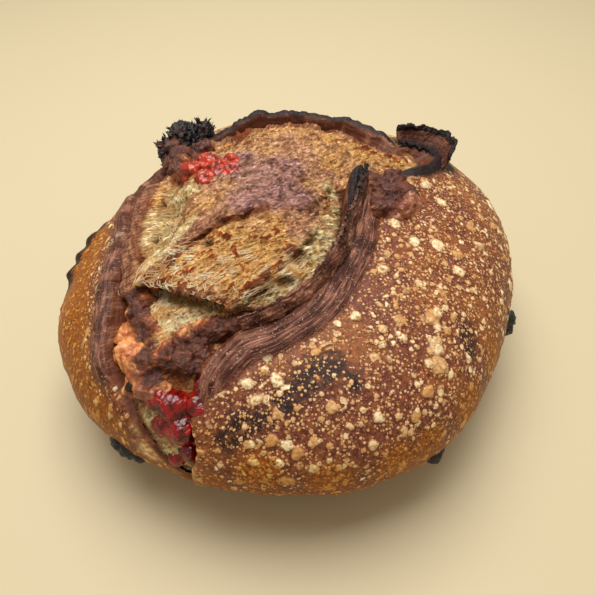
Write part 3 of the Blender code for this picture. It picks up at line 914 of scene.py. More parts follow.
def wire(tree, shader, colour, height=None, height_mm=0.4, roughness=None):
    """Links a colour, a small bump and a roughness to the shader."""
    tree.links.new(colour, shader.inputs["Base Color"])
    if height is not None:
        bump = add(tree, "ShaderNodeBump", {"Strength": 1.0, "Distance": height_mm * MM, "Height": height})
        tree.links.new(bump.outputs[0], shader.inputs["Normal"])
    if roughness is not None:
        tree.links.new(roughness, shader.inputs["Roughness"])


print("helpers for nodes are ready")

# %% [markdown]
# Small gas bubbles in the cold, wet skin of the dough swell into blisters, and their thin skin bakes
# pale and shiny. They come in all sizes, from dots to a thumbnail. Each layer cuts a sheet of random
# cells, and gives some of the cells a round cap of random size. Where the loaf grew most, the
# skin stretched, and there the caps are drawn out into streaks.

# %% Blisters
# Cell size in mm, share of the cells with a blister, smallest and largest radius in cells, height
# in mm, how far the skin stretched upwards, and how pale the skin of the palest ones is.
BLISTERS = (
    (9.5, 0.42, 0.22, 0.50, 0.60, 1.0, 1.0),
    (5.4, 0.58, 0.22, 0.54, 0.45, 1.0, 0.95),
    (3.0, 0.62, 0.24, 0.54, 0.26, 1.0, 0.7),
    (1.4, 0.80, 0.28, 0.56, 0.12, 1.0, 0.35),
)
STREAKS = (
    (3.6, 0.70, 0.22, 0.48, 0.35, 3.0, 0.9),
    (1.8, 0.66, 0.24, 0.50, 0.18, 2.4, 0.7),
)
# Layers down to this cell size are left out where the crust is sooty.
LARGE_CELLS = 5
# Each layer reads its cells from another part of the noise, this far on.
LAYER_SHIFT = (7.3, 3.1, 1.7)
# A cap rises steeply at its edge and is flatter on top.
CAP_POWER = 0.7
TEAR_TURN = (0, 0, 40)


def bare_share(tree):
    """How much of the blistering shows: little on the stretched bands, none under the ears."""
    hidden = maths(tree, "MAXIMUM", times(tree, read(tree, "band"), 0.92), read(tree, "under"))
    return less(tree, maths(tree, "MAXIMUM", hidden, read(tree, "torn")))


def caps(tree, row, number, density):
    """One layer of blisters: how high each place stands, 0 to 1, and a random tone for each cap."""
    size, share, small, large, _, pull, _ = row
    place = stretched(tree, read(tree, "skin"), (size, size, size * pull))
    place = vectors(tree, "ADD", place, tuple(step * number for step in LAYER_SHIFT))
    place = wobbled(tree, place, 2.0, 2.5, 0.5)
    cells = add(tree, "ShaderNodeTexVoronoi", {"Vector": place, "Scale": 1.0, "Randomness": 1.0})
    lots = add(tree, "ShaderNodeSeparateXYZ", {0: cells.outputs["Color"]})
    radius = times_plus(tree, lots.outputs[0], large - small, small)
    there = maths(tree, "LESS_THAN", lots.outputs[1], times(tree, density, share))
    away = maths(tree, "DIVIDE", cells.outputs["Distance"], radius)
    cap = less(tree, times(tree, away, away))
    return times(tree, cap, there), lots.outputs[2]


def blister_layers(tree):
    """All layers of blisters: their height in mm, how pale they get, their caps and their tones."""
    streaky = read(tree, "streaky")
    plain = times(tree, bare_share(tree), less(tree, times(tree, streaky, 0.75)))
    drawn = times(tree, bare_share(tree), streaky)
    crowd = ramp(tree, grain(tree, read(tree, "skin"), 17, 2), 0.32, 0.68, 0.62, 1.25)
    plain = times(tree, plain, times_plus(tree, read(tree, "blistered"), 0.35, crowd))
    rare = times(tree, plain, less(tree, read(tree, "soot")))
    found = []
    for number, row in enumerate(BLISTERS + STREAKS):
        density = rare if row[0] > LARGE_CELLS else plain
        if row in STREAKS:
            density = drawn
        found.append((row[4], row[6], *caps(tree, row, number, density)))
    return found


def with_cap(tree, cap, rise, height):
    """A height with a blister's cap on it."""
    return times_plus(tree, maths(tree, "POWER", cap, CAP_POWER), rise, height)


def striae(tree, along=9, across=0.9, rough=0.5):
    """Fine lines along the edge on the stretched bands, from 0 to 1."""
    return grain(tree, stretched(tree, read(tree, "run"), (along, across, 1)), 1.0, 3, rough)


def torn_threads(tree):
    return grain(tree, stretched(tree, read(tree, "skin"), (2.2, 1.2, 1.0), TEAR_TURN), 1.0, 4)


def crust_height(tree):
    total = times(tree, grain(tree, read(tree, "skin"), 3.2, 3), 0.35)
    for rise, _, cap, _ in blister_layers(tree):
        total = with_cap(tree, cap, rise, total)
    lines = maths(tree, "SUBTRACT", striae(tree), 0.5)
    total = times_plus(tree, lines, times(tree, read(tree, "band"), 0.9), total)
    return times_plus(tree, torn_threads(tree), times(tree, read(tree, "torn"), 1.6), total)


raise_surface(crust, "blisters", crust_height)
print("blister layers:", len(BLISTERS) + len(STREAKS))

# %% [markdown]
# The crust's colour comes from long baking: plum brown where it is thickest, russet and then golden
# lower down, where the oven was cooler. Blisters are cream to amber with a darker ring. The
# stretched bands are a greyer plum with fine lines, and rims that stood highest are charred.

# %% The crust's finish
PLUM, RUSSET, HONEY = paint(114, 62, 44), paint(140, 82, 42), paint(158, 92, 12)
CREAM, AMBER, TOFFEE = paint(255, 236, 192), paint(210, 154, 92), paint(148, 86, 42)
BAND_DARK, BAND_LIGHT = paint(66, 27, 17), paint(168, 114, 94)
CHAR, SOOT = paint(22, 18, 20), paint(30, 23, 25)
LIP_UNDERSIDE, LIP_PALE = paint(96, 50, 30), paint(150, 98, 64)
TORN_GOLD, TORN_PALE = paint(186, 126, 62), paint(240, 210, 156)
WARM_TINT = (0.90, 0.76, 0.30, 1)
CRUST_SHEEN = 0.22


def crust_ground(tree, skin, small):
    """The crust between the blisters, as a colour and a height."""
    ground = mix(tree, ramp(tree, grain(tree, skin, 24, 3, 0.5), 0.44, 0.68), PLUM, RUSSET)
    honey = patchy(tree, read(tree, "golden"), grain(tree, skin, 9, 3), 0.9, 0.4)
    ground = mix(tree, times(tree, honey, 0.85), ground, HONEY)
    soot = patchy(tree, read(tree, "soot"), grain(tree, skin, 4.0, 5, 0.65), 0.9, 0.55)
    ground = mix(tree, times(tree, soot, 0.88), ground, SOOT)
    ground = speckled(tree, ground, small, 0.3, 0.7, (0.46, 0.38, 0.30), 1.5)
    clouds = ramp(tree, grain(tree, skin, 3.6, 3, 0.6), 0.50, 0.70, 0.0, 0.6)
    ground = mix(tree, times(tree, clouds, bare_share(tree)), ground, TOFFEE)
    specks = ramp(tree, grain(tree, skin, 0.7, 2, 0.5), 0.66, 0.74, 0.0, 0.85)
    ground = mix(tree, times(tree, specks, bare_share(tree)), ground, CREAM)
    return ground, times_plus(tree, specks, 0.12, times(tree, small, 0.25))


def with_blisters(tree, colour, height, small):
    """The colour and height with all the blisters on them."""
    for rise, palest, cap, tone in blister_layers(tree):
        tone = times_plus(tree, read(tree, "golden"), -0.4, tone)
        pale = times(tree, ramp(tree, tone, 0.1, 0.85), palest)
        pale = times(tree, pale, ramp(tree, cap, 0.05, 0.85, 0.35, 1.1))
        blister = mix(tree, ramp(tree, cap, 0.0, 0.55), TOFFEE, mix(tree, pale, AMBER, CREAM))
        blister = speckled(tree, blister, small, 0.25, 0.75, (0.62, 0.55, 0.46), 1.2)
        colour = mix(tree, ramp(tree, cap, 0.0, 0.60, 0.0, 0.95), colour, blister)
        height = with_cap(tree, cap, rise, height)
    return colour, height


def with_bands(tree, colour, height, skin):
    """The colour and height with the stretched bands, whose lines run along the edge."""
    fine_lines = striae(tree, 8, 0.55, 0.55)
    lines = times_plus(tree, grain(tree, skin, 8, 3, 0.5), 0.6, times(tree, striae(tree), 0.7))
    band = mix(tree, ramp(tree, lines, 0.54, 0.84), BAND_DARK, BAND_LIGHT)
    band = speckled(tree, band, fine_lines, 0.3, 0.7, (0.42, 0.34, 0.28), 1.35, 0.9)
    dots = ramp(tree, grain(tree, skin, 0.8, 1), 0.64, 0.72)
    band = mix(tree, times(tree, dots, 0.35), band, CREAM)
    colour = mix(tree, times(tree, read(tree, "band"), 0.9), colour, band)
    relief = maths(tree, "ADD", lines, fine_lines)
    return colour, times_plus(tree, relief, times(tree, read(tree, "band"), 0.7), height)


def charring(tree, skin):
    """How black the crust is: on the ragged rims and in burnt places, least under the lips."""
    edge_noise = grain(tree, stretched(tree, read(tree, "run"), (6, 2.2, 1)), 1.0, 4)
    rim = patchy(tree, read(tree, "rim"), edge_noise, 1.1, 0.25)
    burnt = patchy(tree, read(tree, "burnt"), grain(tree, skin, 3.0, 4), 1.1, 0.3)
    bared = times_plus(tree, read(tree, "under"), -0.7, 0.93)
    return times(tree, maths(tree, "MAXIMUM", rim, burnt), bared)


def crust_finish():
    made, tree, shader = new_finish("baked_crust", 0.5)
    skin = read(tree, "skin")
    small = grain(tree, skin, 1.4, 4, 0.65)
    colour, height = crust_ground(tree, skin, small)
    colour, height = with_blisters(tree, colour, height, small)
    colour = shade(tree, times(tree, read(tree, "golden"), 0.8), colour, WARM_TINT)
    colour, height = with_bands(tree, colour, height, skin)
    torn = mix(tree, ramp(tree, torn_threads(tree), 0.35, 0.65), TORN_GOLD, TORN_PALE)
    colour = mix(tree, read(tree, "torn"), colour, torn)
    mottled = ramp(tree, grain(tree, skin, 4.0, 4, 0.6), 0.50, 0.72)
    colour = mix(tree, read(tree, "under"), colour, mix(tree, mottled, LIP_UNDERSIDE, LIP_PALE))
    colour = mix(tree, charring(tree, skin), colour, CHAR)
    wire(tree, shader, colour, height, 0.9, ramp(tree, small, 0.2, 0.8, 0.34, 0.62))
    shader.inputs["Specular IOR Level"].default_value = CRUST_SHEEN
    return made


def give(piece, finish, slot, *nodes):
    """Gives a piece its finish and body, and hides the solids that it stands for; the slot is not used."""
    piece.data.materials.clear()
    piece.data.materials.append(finish)
    bpy.ops.object.select_all(action="DESELECT")
    bpy.context.view_layer.objects.active = piece
    piece.select_set(True)
    bpy.ops.object.shade_smooth()
    piece.select_set(False)
    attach(piece, "root")
    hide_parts(*nodes)
    print(piece.name, "has", len(piece.data.polygons), "faces")


crust_look = crust_finish()
give(crust, crust_look, "crust", "loaf")

# %% [markdown]
# The torn crumb is a net of glossy gluten strands over soft, open dough. Strands run the way the
# crumb was pulled. Ridges that stood up are toasted orange, sheltered slopes stay cream, and
# berry juice stained the top purple. Stretched noise makes the strands, cells make the small pores.
# How far a point stands above those round it is kept as its crest, which tells what toasted most and which
# crevices get painted shade.

# %% The crumb
FIBRE_TURN = (0, 0, -32)
STRAND_SIZE, THIN_STRAND_SIZE = 1.8, 1.0
CREST_ROUNDS, CREST_EASE = 40, 0.6
GROOVE_SHADE_FADE = 3.5 * MM
CREAM_CRUMB, PALE_GOLD = paint(250, 238, 190), paint(240, 206, 138)
GOLD_CRUMB, ORANGE_CRUMB, TOAST = paint(232, 170, 90), paint(164, 78, 14), paint(96, 34, 8)
TAN_CRUMB, ROSY_CRUMB = paint(246, 204, 164), paint(208, 144, 112)
PURPLE_CRUMB, DARK_PURPLE = paint(206, 156, 160), paint(58, 32, 58)
PIT_SHADE_BROWN = paint(84, 46, 16)
RIDGE_DARK, RIDGE_LIGHT = paint(134, 76, 52), paint(196, 140, 108)
PORE_SHADE_TINT, CREVICE_SHADE_TINT = (0.54, 0.34, 0.13, 1), (0.42, 0.30, 0.16, 1)
THREAD_HIGHLIGHT = (1.6, 1.55, 1.45, 1)
CRUMB_SHEEN = 0.3


def strands(tree, size):
    """Thin winding strands, from 0 to 1, along the pull of the dough."""
    place = stretched(tree, read(tree, "skin"), (size * 2.4, size, size), FIBRE_TURN)
    return ridges(tree, grain(tree, place, 1.0, 3, 0.5, 1.6), 0.07)


def pores(tree, size):
    """Open pores of about that size: 1 in the middle of a pore."""
    place = stretched(tree, read(tree, "skin"), (size, size, size))
    place = wobbled(tree, place, 1.2, 2.0, 1.0)
    cells = add(tree, "ShaderNodeTexVoronoi", {"Vector": place, "Scale": 1.0})
    return ramp(tree, cells.outputs["Distance"], 0.1, 0.5, 1.0, 0.0)


def smooth_skin(tree):
    """Where the crumb keeps a smooth skin of crust: on the inner ridge."""
    return patchy(tree, read(tree, "skinned"), grain(tree, read(tree, "skin"), 4.2, 3), 0.5, 0.3)


def crumb_height(tree):
    skin, pale = read(tree, "skin"), read(tree, "pale")
    baked = less(tree, times(tree, pale, 0.6))
    baked = times(tree, baked, less(tree, times(tree, smooth_skin(tree), 0.8)))
    rough = maths(tree, "SUBTRACT", grain(tree, skin, 2.8, 5, 0.64), 0.5)
    wide = stretched(tree, skin, (14, 5, 7), FIBRE_TURN)
    folded = ridges(tree, grain(tree, wide, 1.0, 3, 0.5, 0.8), 0.10)
    total = times(tree, rough, times(tree, baked, 4.2))
    total = times_plus(tree, folded, times(tree, baked, 1.3), total)
    total = times_plus(tree, strands(tree, STRAND_SIZE), times(tree, baked, 0.45), total)
    open_pores = maths(tree, "MAXIMUM", pores(tree, 3.4), times(tree, pores(tree, 1.7), 0.5))
    return times_plus(tree, open_pores, times_plus(tree, pale, -1.2, -0.1), total)


def baked_crumb(tree, mid, fine, crests, tops):
    """The crumb's tan, golden, rosy and pale zones, each baked darker on its crests."""
    flecks = ramp(tree, fine, 0.35, 0.65)
    pale = mix(tree, ramp(tree, mid, 0.44, 0.62), CREAM_CRUMB, PALE_GOLD)
    pale = mix(tree, times(tree, tops, 0.6), pale, GOLD_CRUMB)
    gold = mix(tree, crests, mix(tree, flecks, GOLD_CRUMB, PALE_GOLD), ORANGE_CRUMB)
    gold = mix(tree, times(tree, tops, 0.8), gold, TOAST)
    tan = mix(tree, times(tree, crests, 0.65), mix(tree, flecks, TAN_CRUMB, GOLD_CRUMB), TOAST)
    rosy = mix(tree, times(tree, crests, 0.7), mix(tree, flecks, ROSY_CRUMB, TAN_CRUMB), TOAST)
    colour = mix(tree, ramp(tree, mid, 0.42, 0.66, 0.0, 0.55), tan, gold)
    colour = mix(tree, patchy(tree, read(tree, "golden"), mid, 0.9, 0.4), colour, gold)
    rosy_share = times(tree, patchy(tree, read(tree, "rosy"), mid, 0.8, 0.4), 0.9)
    colour = mix(tree, rosy_share, colour, rosy)
    return mix(tree, patchy(tree, read(tree, "pale"), mid, 1.1, 0.4), colour, pale)


def stained_crumb(tree, colour, skin, mid, fine, crests):
    """The crumb with painted shade in its open pores and pits, berry juice, and toasted edges."""
    # Painted shade darkens the open pores of the pale crumb.
    pore_shade = times(tree, ramp(tree, pores(tree, 2.6), 0.35, 0.8), read(tree, "pale"))
    colour = shade(tree, times(tree, pore_shade, 0.85), colour, PORE_SHADE_TINT)
    # Painted shade darkens the pits of burst bubbles.
    colour = mix(tree, times(tree, read(tree, "pit_shade"), 0.9), colour, PIT_SHADE_BROWN)
    smudges = maths(tree, "MAXIMUM", times(tree, crests, 0.6), ramp(tree, mid, 0.44, 0.66))
    purple = mix(tree, smudges, PURPLE_CRUMB, DARK_PURPLE)
    blots = times_plus(tree, mid, 0.5, times(tree, grain(tree, skin, 11, 3), 0.5))
    stain = patchy(tree, read(tree, "purple"), blots, 1.4, 0.5)
    colour = mix(tree, times(tree, stain, 0.75), colour, purple)
    # The toasted zone is partly painted shade, under the front ledge.
    toasted = patchy(tree, read(tree, "toasted"), mid, 0.9, 0.4)
    burnt = mix(tree, ramp(tree, fine, 0.40, 0.62), TOAST, ORANGE_CRUMB)
    return mix(tree, times(tree, toasted, 0.85), colour, burnt)


def skinned_crumb(tree, colour, fine):
    """The crumb with the smooth skin of the inner ridge, lined along the edge."""
    lines = grain(tree, stretched(tree, read(tree, "run"), (6, 0.8, 1)), 1.0, 3)
    skinned = mix(tree, ramp(tree, lines, 0.35, 0.65), RIDGE_DARK, RIDGE_LIGHT)
    skinned = mix(tree, ramp(tree, fine, 0.55, 0.70, 0.0, 0.7), skinned, TAN_CRUMB)
    return mix(tree, times(tree, smooth_skin(tree), 0.85), colour, skinned)


def crumb_finish():
    made, tree, shader = new_finish("torn_crumb", 0.5)
    skin = read(tree, "skin")
    mid, fine = grain(tree, skin, 4.6, 4, 0.6), grain(tree, skin, 1.2, 4, 0.65)
    thin = times(tree, strands(tree, THIN_STRAND_SIZE), 0.8)
    threads = maths(tree, "MAXIMUM", strands(tree, STRAND_SIZE), thin)
    # High places baked darkest and low ones get painted shade; a fine noise breaks them up into crumbs.
    above = times_plus(tree, maths(tree, "SUBTRACT", fine, 0.5), 1.6, read(tree, "crest"))
    above = times_plus(tree, threads, -0.35, above)
    crests, tops = ramp(tree, above, -0.22, 0.50), ramp(tree, above, 0.32, 0.95)
    crevice_shade = ramp(tree, above, -0.90, -0.20, 1.0, 0.0)
    colour = baked_crumb(tree, mid, fine, crests, tops)
    colour = stained_crumb(tree, colour, skin, mid, fine, crests)
    # Painted shade darkens the crevices between the crests.
    colour = shade(tree, times(tree, crevice_shade, 0.7), colour, CREVICE_SHADE_TINT)
    # Painted highlight: the glossy threads are lightened.
    colour = shade(tree, times(tree, threads, 0.5), colour, THREAD_HIGHLIGHT)
    # Painted shade: near the groove under the ears the crumb turns toast brown.
    groove = times(tree, read(tree, "groove"), ramp(tree, mid, 0.3, 0.7, 0.4, 0.9))
    colour = mix(tree, groove, colour, TOAST)
    colour = skinned_crumb(tree, colour, fine)
    fibres = grain(tree, stretched(tree, skin, (3.6, 0.8, 1.1), FIBRE_TURN), 1.0, 4, 0.65)
    colour = speckled(tree, colour, fibres, 0.34, 0.66, (0.58, 0.44, 0.30), 1.36)
    height = times_plus(tree, threads, 0.6, times(tree, fine, 1.4))
    wire(tree, shader, colour, height, 0.9, ramp(tree, threads, 0.0, 1.0, 0.6, 0.36))
    shader.inputs["Specular IOR Level"].default_value = CRUMB_SHEEN
    return made


def keep_crests(piece, rounds):
    """Keeps how far each point stands above the middle of the points round it, in millimetres."""
    height = np.linalg.norm(points_of(piece) - CENTRE, axis=1) / MM
    ends = np.empty(len(piece.data.edges) * 2, np.int32)
    piece.data.edges.foreach_get("vertices", ends)
    one, other = ends.reshape(-1, 2).T
    neighbours = np.bincount(ends, minlength=len(height))
    middle = height
    for _ in range(rounds):
        total = np.bincount(one, middle[other], len(height)) + np.bincount(other, middle[one], len(height))
        middle = (1 - CREST_EASE) * middle + CREST_EASE * total / neighbours
    keep_value(piece, "crest", height - middle)


def keep_groove_shade(piece):
    """Keeps how near each point of the crumb lies to the groove under the ears, for painted shade."""
    depth = -outward_of(piece) - UNDERCUT
    keep_value(piece, "groove", 1 - smooth_step(depth / GROOVE_SHADE_FADE))


keep_groove_shade(crumb)
raise_surface(crumb, "strands_and_pores", crumb_height)
keep_crests(crumb, CREST_ROUNDS)
give(crumb, crumb_finish(), "crust", "loaf")

# %% [markdown]
# The underside baked on the hot stone. It is evenly browned and dusty with the flour that kept the
# dough from sticking. A coarse noise varies the brown, and a fine one lays the paler dust on it.

# %% The floury base
BASE_BROWN, BASE_TAN, FLOUR = paint(150, 98, 52), paint(190, 140, 88), paint(216, 190, 150)


def base_finish():
    made, tree, shader = new_finish("floury_base", 0.75)
    skin = read(tree, "skin")
    brown = mix(tree, ramp(tree, grain(tree, skin, 14, 4), 0.35, 0.65), BASE_BROWN, BASE_TAN)
    dust = ramp(tree, grain(tree, skin, 1.6, 4), 0.5, 0.7, 0.0, 0.6)
    wire(tree, shader, mix(tree, dust, brown, FLOUR), grain(tree, skin, 1.2, 4), 0.3)
    return made


give(base, base_finish(), "crust", "loaf")

# %% [markdown]
# Sheep cheese from the filling melted, ran out at the corners of the opening and browned. Each lump
# is a run of balls, as a cook would dab it on, which are joined, fused by a voxel remesh and eased,
# so it looks poured. The same is done for crushed berries and for the drips that burnt black.

# %% Melted lumps
BALL_ROUNDS = 3
# Each ball: bearing, tilt, lift above the loaf's surface and radius, in millimetres.
LUMPS = {
    "cheese_front_left": (
        (-140, 66.5, -1, 5), (-136, 68.5, -1, 6), (-131, 70.5, -2, 6), (-133, 73, -2, 6.5),
        (-128.5, 75.5, -3, 8), (-124, 75, -3, 7.5), (-120.5, 77, -3, 6.5), (-125.5, 79, -3, 5.5),
        (-128, 71, -3, 6), (-122, 72.5, -3, 6),
    ),
    "cheese_front_middle": (
        (-120, 69.5, -1, 4.5), (-117.5, 68, -1, 5.5), (-115, 66.5, -1, 5.5), (-112, 64.5, -1.5, 4),
        (-109.5, 62, -1.5, 2.6), (-117, 72, -1, 6), (-113.5, 72, -1, 6),
    ),
    "cheese_back_left": (
        (130, 62.5, 3, 6.5), (136, 59, 2, 6), (136, 64.5, 6, 7.5), (142, 66, 6, 7.5),
        (146, 62, 3, 7), (152, 59, 0, 6),
    ),
    "cheese_back_right": (
        (7, 38.5, -0.5, 6.5), (12, 45, -1.5, 6), (4.5, 48.5, -2.5, 6), (-4, 42.5, -1, 7),
        (-16, 39, -1, 5.5), (-11.5, 47.5, -2, 6.5), (-3, 51, -2.5, 6), (-8, 43, -2, 6), (4, 43, -2, 6),
    ),
}
BERRIES = {
    "cranberry_front": (
        (-115.5, 78.5, -1, 6), (-111.6, 78.3, -1, 6), (-113, 82, -1.5, 6), (-118.5, 77.5, -1, 5),
        (-116, 82, -2, 4.5), (-110, 80.5, -1.5, 4.5), (-112, 75.5, -1, 4.5),
    ),
    "cranberry_drip": ((-111.2, 86, -1.2, 4), (-112.8, 88, -1.2, 3.4)),
    "cranberry_back": (
        (151, 48, -2, 6), (160, 39, -2.5, 6), (172, 40, -2.5, 5.5), (166, 32, -3, 5),
        (149, 36, -2.5, 5.5), (161, 48, -2, 5.5), (155, 43, -2, 5.5), (166, 36, -2.5, 5),
        (158, 32, -3, 4.5),
    ),
}
DRIPS = {
    "burnt_drip_right": ((-21, 88, -0.8, 4.2), (-22.5, 90, -0.5, 3.4)),
    "burnt_drip_front": ((-61.3, 94.5, -1, 4.2), (-59.8, 95.5, -1, 3.4)),
    "burnt_drip_left": ((-127.6, 94, -1.2, 4.6), (-125.4, 94.6, -1, 4.6), (-123.3, 95.5, -1, 3.8)),
}
CHEESE_ZONES = {
    "crusty": {
        "spots": ((-140, 66.5, 6.5), (-134.5, 67.5, 6), (-129, 69, 4.5), (-124, 71, 4.5),
                  (-120, 73.3, 4), (-121, 78.5, 3), (-114, 67, 8), (-116, 71, 8), (-112, 64, 7),
                  (-109, 61.5, 6), (-118, 69, 6), (136, 59, 9), (148, 61, 10), (154, 59, 8),
                  (9, 38, 7), (14, 45, 6), (-2, 40, 7), (-16, 38, 6), (4, 48, 4)),
    },
    "black": {
        "spots": ((-124.8, 78.2, 3.6), (132, 64, 13), (141, 68, 12), (126, 62, 12)),
    },
    "pink": {
        "spots": ((-122, 74, 5), (-119, 77, 5.5), (-124, 80, 4), (-5, 46, 12), (4, 41, 10),
                  (-12, 45, 11), (6, 48, 10), (-4, 51, 10), (12, 44, 9)),
    },
}
# Voxel size, rounds of smoothing, and how much larger the balls start, as smoothing shrinks them.
CHEESE_FUSING = (0.5 * MM, 14, 1.16)
BERRY_FUSING = (0.45 * MM, 10, 1.1)
DRIP_FUSING = (0.4 * MM, 3, 1.03)
# Layers of relief: size of the bumps, their height, and octaves of noise.
CHEESE_RELIEF = ((8 * MM, 2.2 * MM, 2), (2.6 * MM, 1.0 * MM, 3))
BERRY_RELIEF = ((5 * MM, 0.8 * MM, 2), (1.4 * MM, 0.2 * MM, 2))
LIVELY_BERRY_RELIEF = ((5 * MM, 1.6 * MM, 2), (1.4 * MM, 0.4 * MM, 2))
DRIP_RELIEF = ((3 * MM, 0.7 * MM, 2), (1.2 * MM, 0.25 * MM, 2))
CHEESE_BROWN, CHEESE_ORANGE = paint(168, 84, 36), paint(240, 166, 104)
CHEESE_CRUST, TOASTED_CHEESE = paint(50, 18, 10), paint(118, 50, 26)
CHEESE_PINK = paint(132, 72, 52)
CLEAR_SHARE, CLEAR_DEPTH = 0.15, 2 * MM


def modify(piece, kind, **settings):
    """Adds a modifier with these settings and applies it."""
    bpy.context.view_layer.objects.active = piece
    modifier = piece.modifiers.new(kind.title(), kind)
    for name, value in settings.items():
        setattr(modifier, name, value)
    bpy.ops.object.modifier_apply(modifier=modifier.name)


def join(parts, name):
    """Joins parts into one piece whose object sits at the origin."""
    bpy.ops.object.select_all(action="DESELECT")
    for part in parts:
        part.select_set(True)
    bpy.context.view_layer.objects.active = parts[0]
    bpy.ops.object.join()
    bpy.ops.object.transform_apply(location=True, rotation=True, scale=True)
    piece = bpy.context.object
    piece.name = piece.data.name = name
    return piece


def ball(centre, radius):
    bpy.ops.mesh.primitive_ico_sphere_add(subdivisions=BALL_ROUNDS, radius=radius, location=centre)
    return bpy.context.object


def fused_lump(name, rows, voxel, smoothing, swell):
    rows = np.array(rows, float)
    ways = direction(rows[:, 0], rows[:, 1])
    centres = loaf_surface(ways) + ways * rows[:, 2:3] * MM
    balls = [ball(centre, radius * swell * MM) for centre, radius in zip(centres, rows[:, 3])]
    piece = join(balls, name)
    modify(piece, "REMESH", mode="VOXEL", voxel_size=voxel)
    modify(piece, "SMOOTH", factor=0.5, iterations=smoothing)
    keep_places(piece, ways_of(points_of(piece) - CENTRE))
    return piece


def roughen(piece, *layers):
    """Moves a piece's points along their normals by layers of noise, given as size and height."""
    points = points_of(piece)
    normals = np.empty(len(points) * 3, np.float32)
    piece.data.vertices.foreach_get("normal", normals)
    normals = normals.reshape(-1, 3).astype(float)
    for size, height, octaves in layers:
        points += normals * (height * lumpiness(points, size, octaves))[:, None]
    set_points(piece, points)


def cheese_finish():
    """Melted cheese: glossy orange to brown, with rough dark toasted crests."""
    made, tree, shader = new_finish("melted_cheese", 0.25)
    skin = read(tree, "skin")
    mid, fine = grain(tree, skin, 5, 3), grain(tree, skin, 1.3, 4, 0.6)
    colour = mix(tree, ramp(tree, mid, 0.36, 0.62), CHEESE_ORANGE, CHEESE_BROWN)
    pink = times(tree, patchy(tree, read(tree, "pink"), mid, 0.7, 0.4), 0.8)
    colour = mix(tree, pink, colour, CHEESE_PINK)
    toasted = patchy(tree, read(tree, "crusty"), fine, 1.3, 0.3)
    dark = mix(tree, ramp(tree, fine, 0.42, 0.66), CHEESE_CRUST, TOASTED_CHEESE)
    colour = mix(tree, times(tree, toasted, 0.95), colour, dark)
    colour = mix(tree, patchy(tree, read(tree, "black"), fine, 0.8, 0.25), colour, CHAR)
    height = times(tree, fine, times_plus(tree, toasted, 1.2, 0.35))
    wire(tree, shader, colour, height, 0.8, ramp(tree, toasted, 0.0, 1.0, 0.2, 0.45))
    shader.inputs["Subsurface Weight"].default_value = CLEAR_SHARE
    shader.inputs["Subsurface Scale"].default_value = CLEAR_DEPTH
    return made


cheese_look = cheese_finish()
lumps = {}
for name, rows in LUMPS.items():
    lump = fused_lump("melted_" + name, rows, *CHEESE_FUSING)
    lumps[name] = lump
    keep_zones(lump, CHEESE_ZONES)
    roughen(lump, *CHEESE_RELIEF)
    slot = "charred_cheese" if name == "cheese_back_left" else "cheese"
    give(lump, cheese_look, slot, name)

# %% [markdown]
# Cranberries burst and boiled to a clear, sticky jam with tiny bubbles in it, deep red where it is
# thick and orange where it is thin. Light has to travel into it, so part of the colour comes from
# scattering below a very smooth, wet surface. Those at the back are brighter and bumpier.

# %% Cranberries
DEEP_BERRY = (paint(70, 1, 3), paint(150, 12, 8))
BRIGHT_BERRY = (paint(120, 14, 4), paint(196, 58, 20))
BERRY_ORANGE = paint(210, 88, 40)
RED_SPREAD = (1.0, 0.15, 0.08)
COAT_SHARE, COAT_ROUGHNESS = 0.15, 0.08


def berry_finish(name, deep, bright):
    made, tree, shader = new_finish(name, 0.12)
    skin = read(tree, "skin")
    mid, fine = grain(tree, skin, 3.5, 3), grain(tree, skin, 1.1, 2)
    colour = mix(tree, ramp(tree, mid, 0.38, 0.62), deep, bright)
    colour = mix(tree, ramp(tree, fine, 0.62, 0.74, 0.0, 0.6), colour, BERRY_ORANGE)
    wire(tree, shader, colour, fine, 0.5)
    shader.inputs["Subsurface Weight"].default_value = CLEAR_SHARE
    shader.inputs["Subsurface Radius"].default_value = RED_SPREAD
    shader.inputs["Subsurface Scale"].default_value = CLEAR_DEPTH
    shader.inputs["Coat Weight"].default_value = COAT_SHARE
    shader.inputs["Coat Roughness"].default_value = COAT_ROUGHNESS
    return made


dark_berry = berry_finish("deep_red_jam", *DEEP_BERRY)
light_berry = berry_finish("bright_red_jam", *BRIGHT_BERRY)
for name, rows in BERRIES.items():
    berry = fused_lump("crushed_" + name, rows, *BERRY_FUSING)
    lively = name == "cranberry_back"
    roughen(berry, *(LIVELY_BERRY_RELIEF if lively else BERRY_RELIEF))
    give(berry, light_berry if lively else dark_berry, "cranberry", name)

# %% [markdown]
# Where drips touched the hot stone they burnt to brittle black beads. At the back left corner the
# cheese stood up highest and charred into a crown of small spikes. One spike is a cone drawn to a
# point, and many of them, each of its own size and lean, stand all over the top of the lump.

# %% Burnt drips and the crown of spikes
SPIKES, SPIKE_SEED = 130, 7
SPIKE_HEIGHTS = (1.6 * MM, 4.4 * MM)
SPIKE_SIDES = 5
SPIKE_GIRTHS = (0.18, 0.34)
SPIKE_TIP = 0.05 * MM
# The middle of a cone stands this share of its height above its foot, so it is sunk a little.
SPIKE_SINKING = 0.36
SPIKE_RELIEF = (1.6 * MM, 0.5 * MM, 2)
BURNT_DARK, BURNT_GREY, BURNT_BROWN = paint(14, 13, 15), paint(62, 58, 62), paint(110, 62, 34)


def burnt_finish():
    made, tree, shader = new_finish("burnt_black", 0.42)
    skin = read(tree, "skin")
    fine = grain(tree, skin, 1.4, 4, 0.65)
    colour = mix(tree, ramp(tree, fine, 0.45, 0.75), BURNT_DARK, BURNT_GREY)
    brown = times(tree, read(tree, "brown"), ramp(tree, fine, 0.4, 0.6))
    colour = mix(tree, brown, colour, BURNT_BROWN)
    wire(tree, shader, colour, fine, 0.6)
    return made


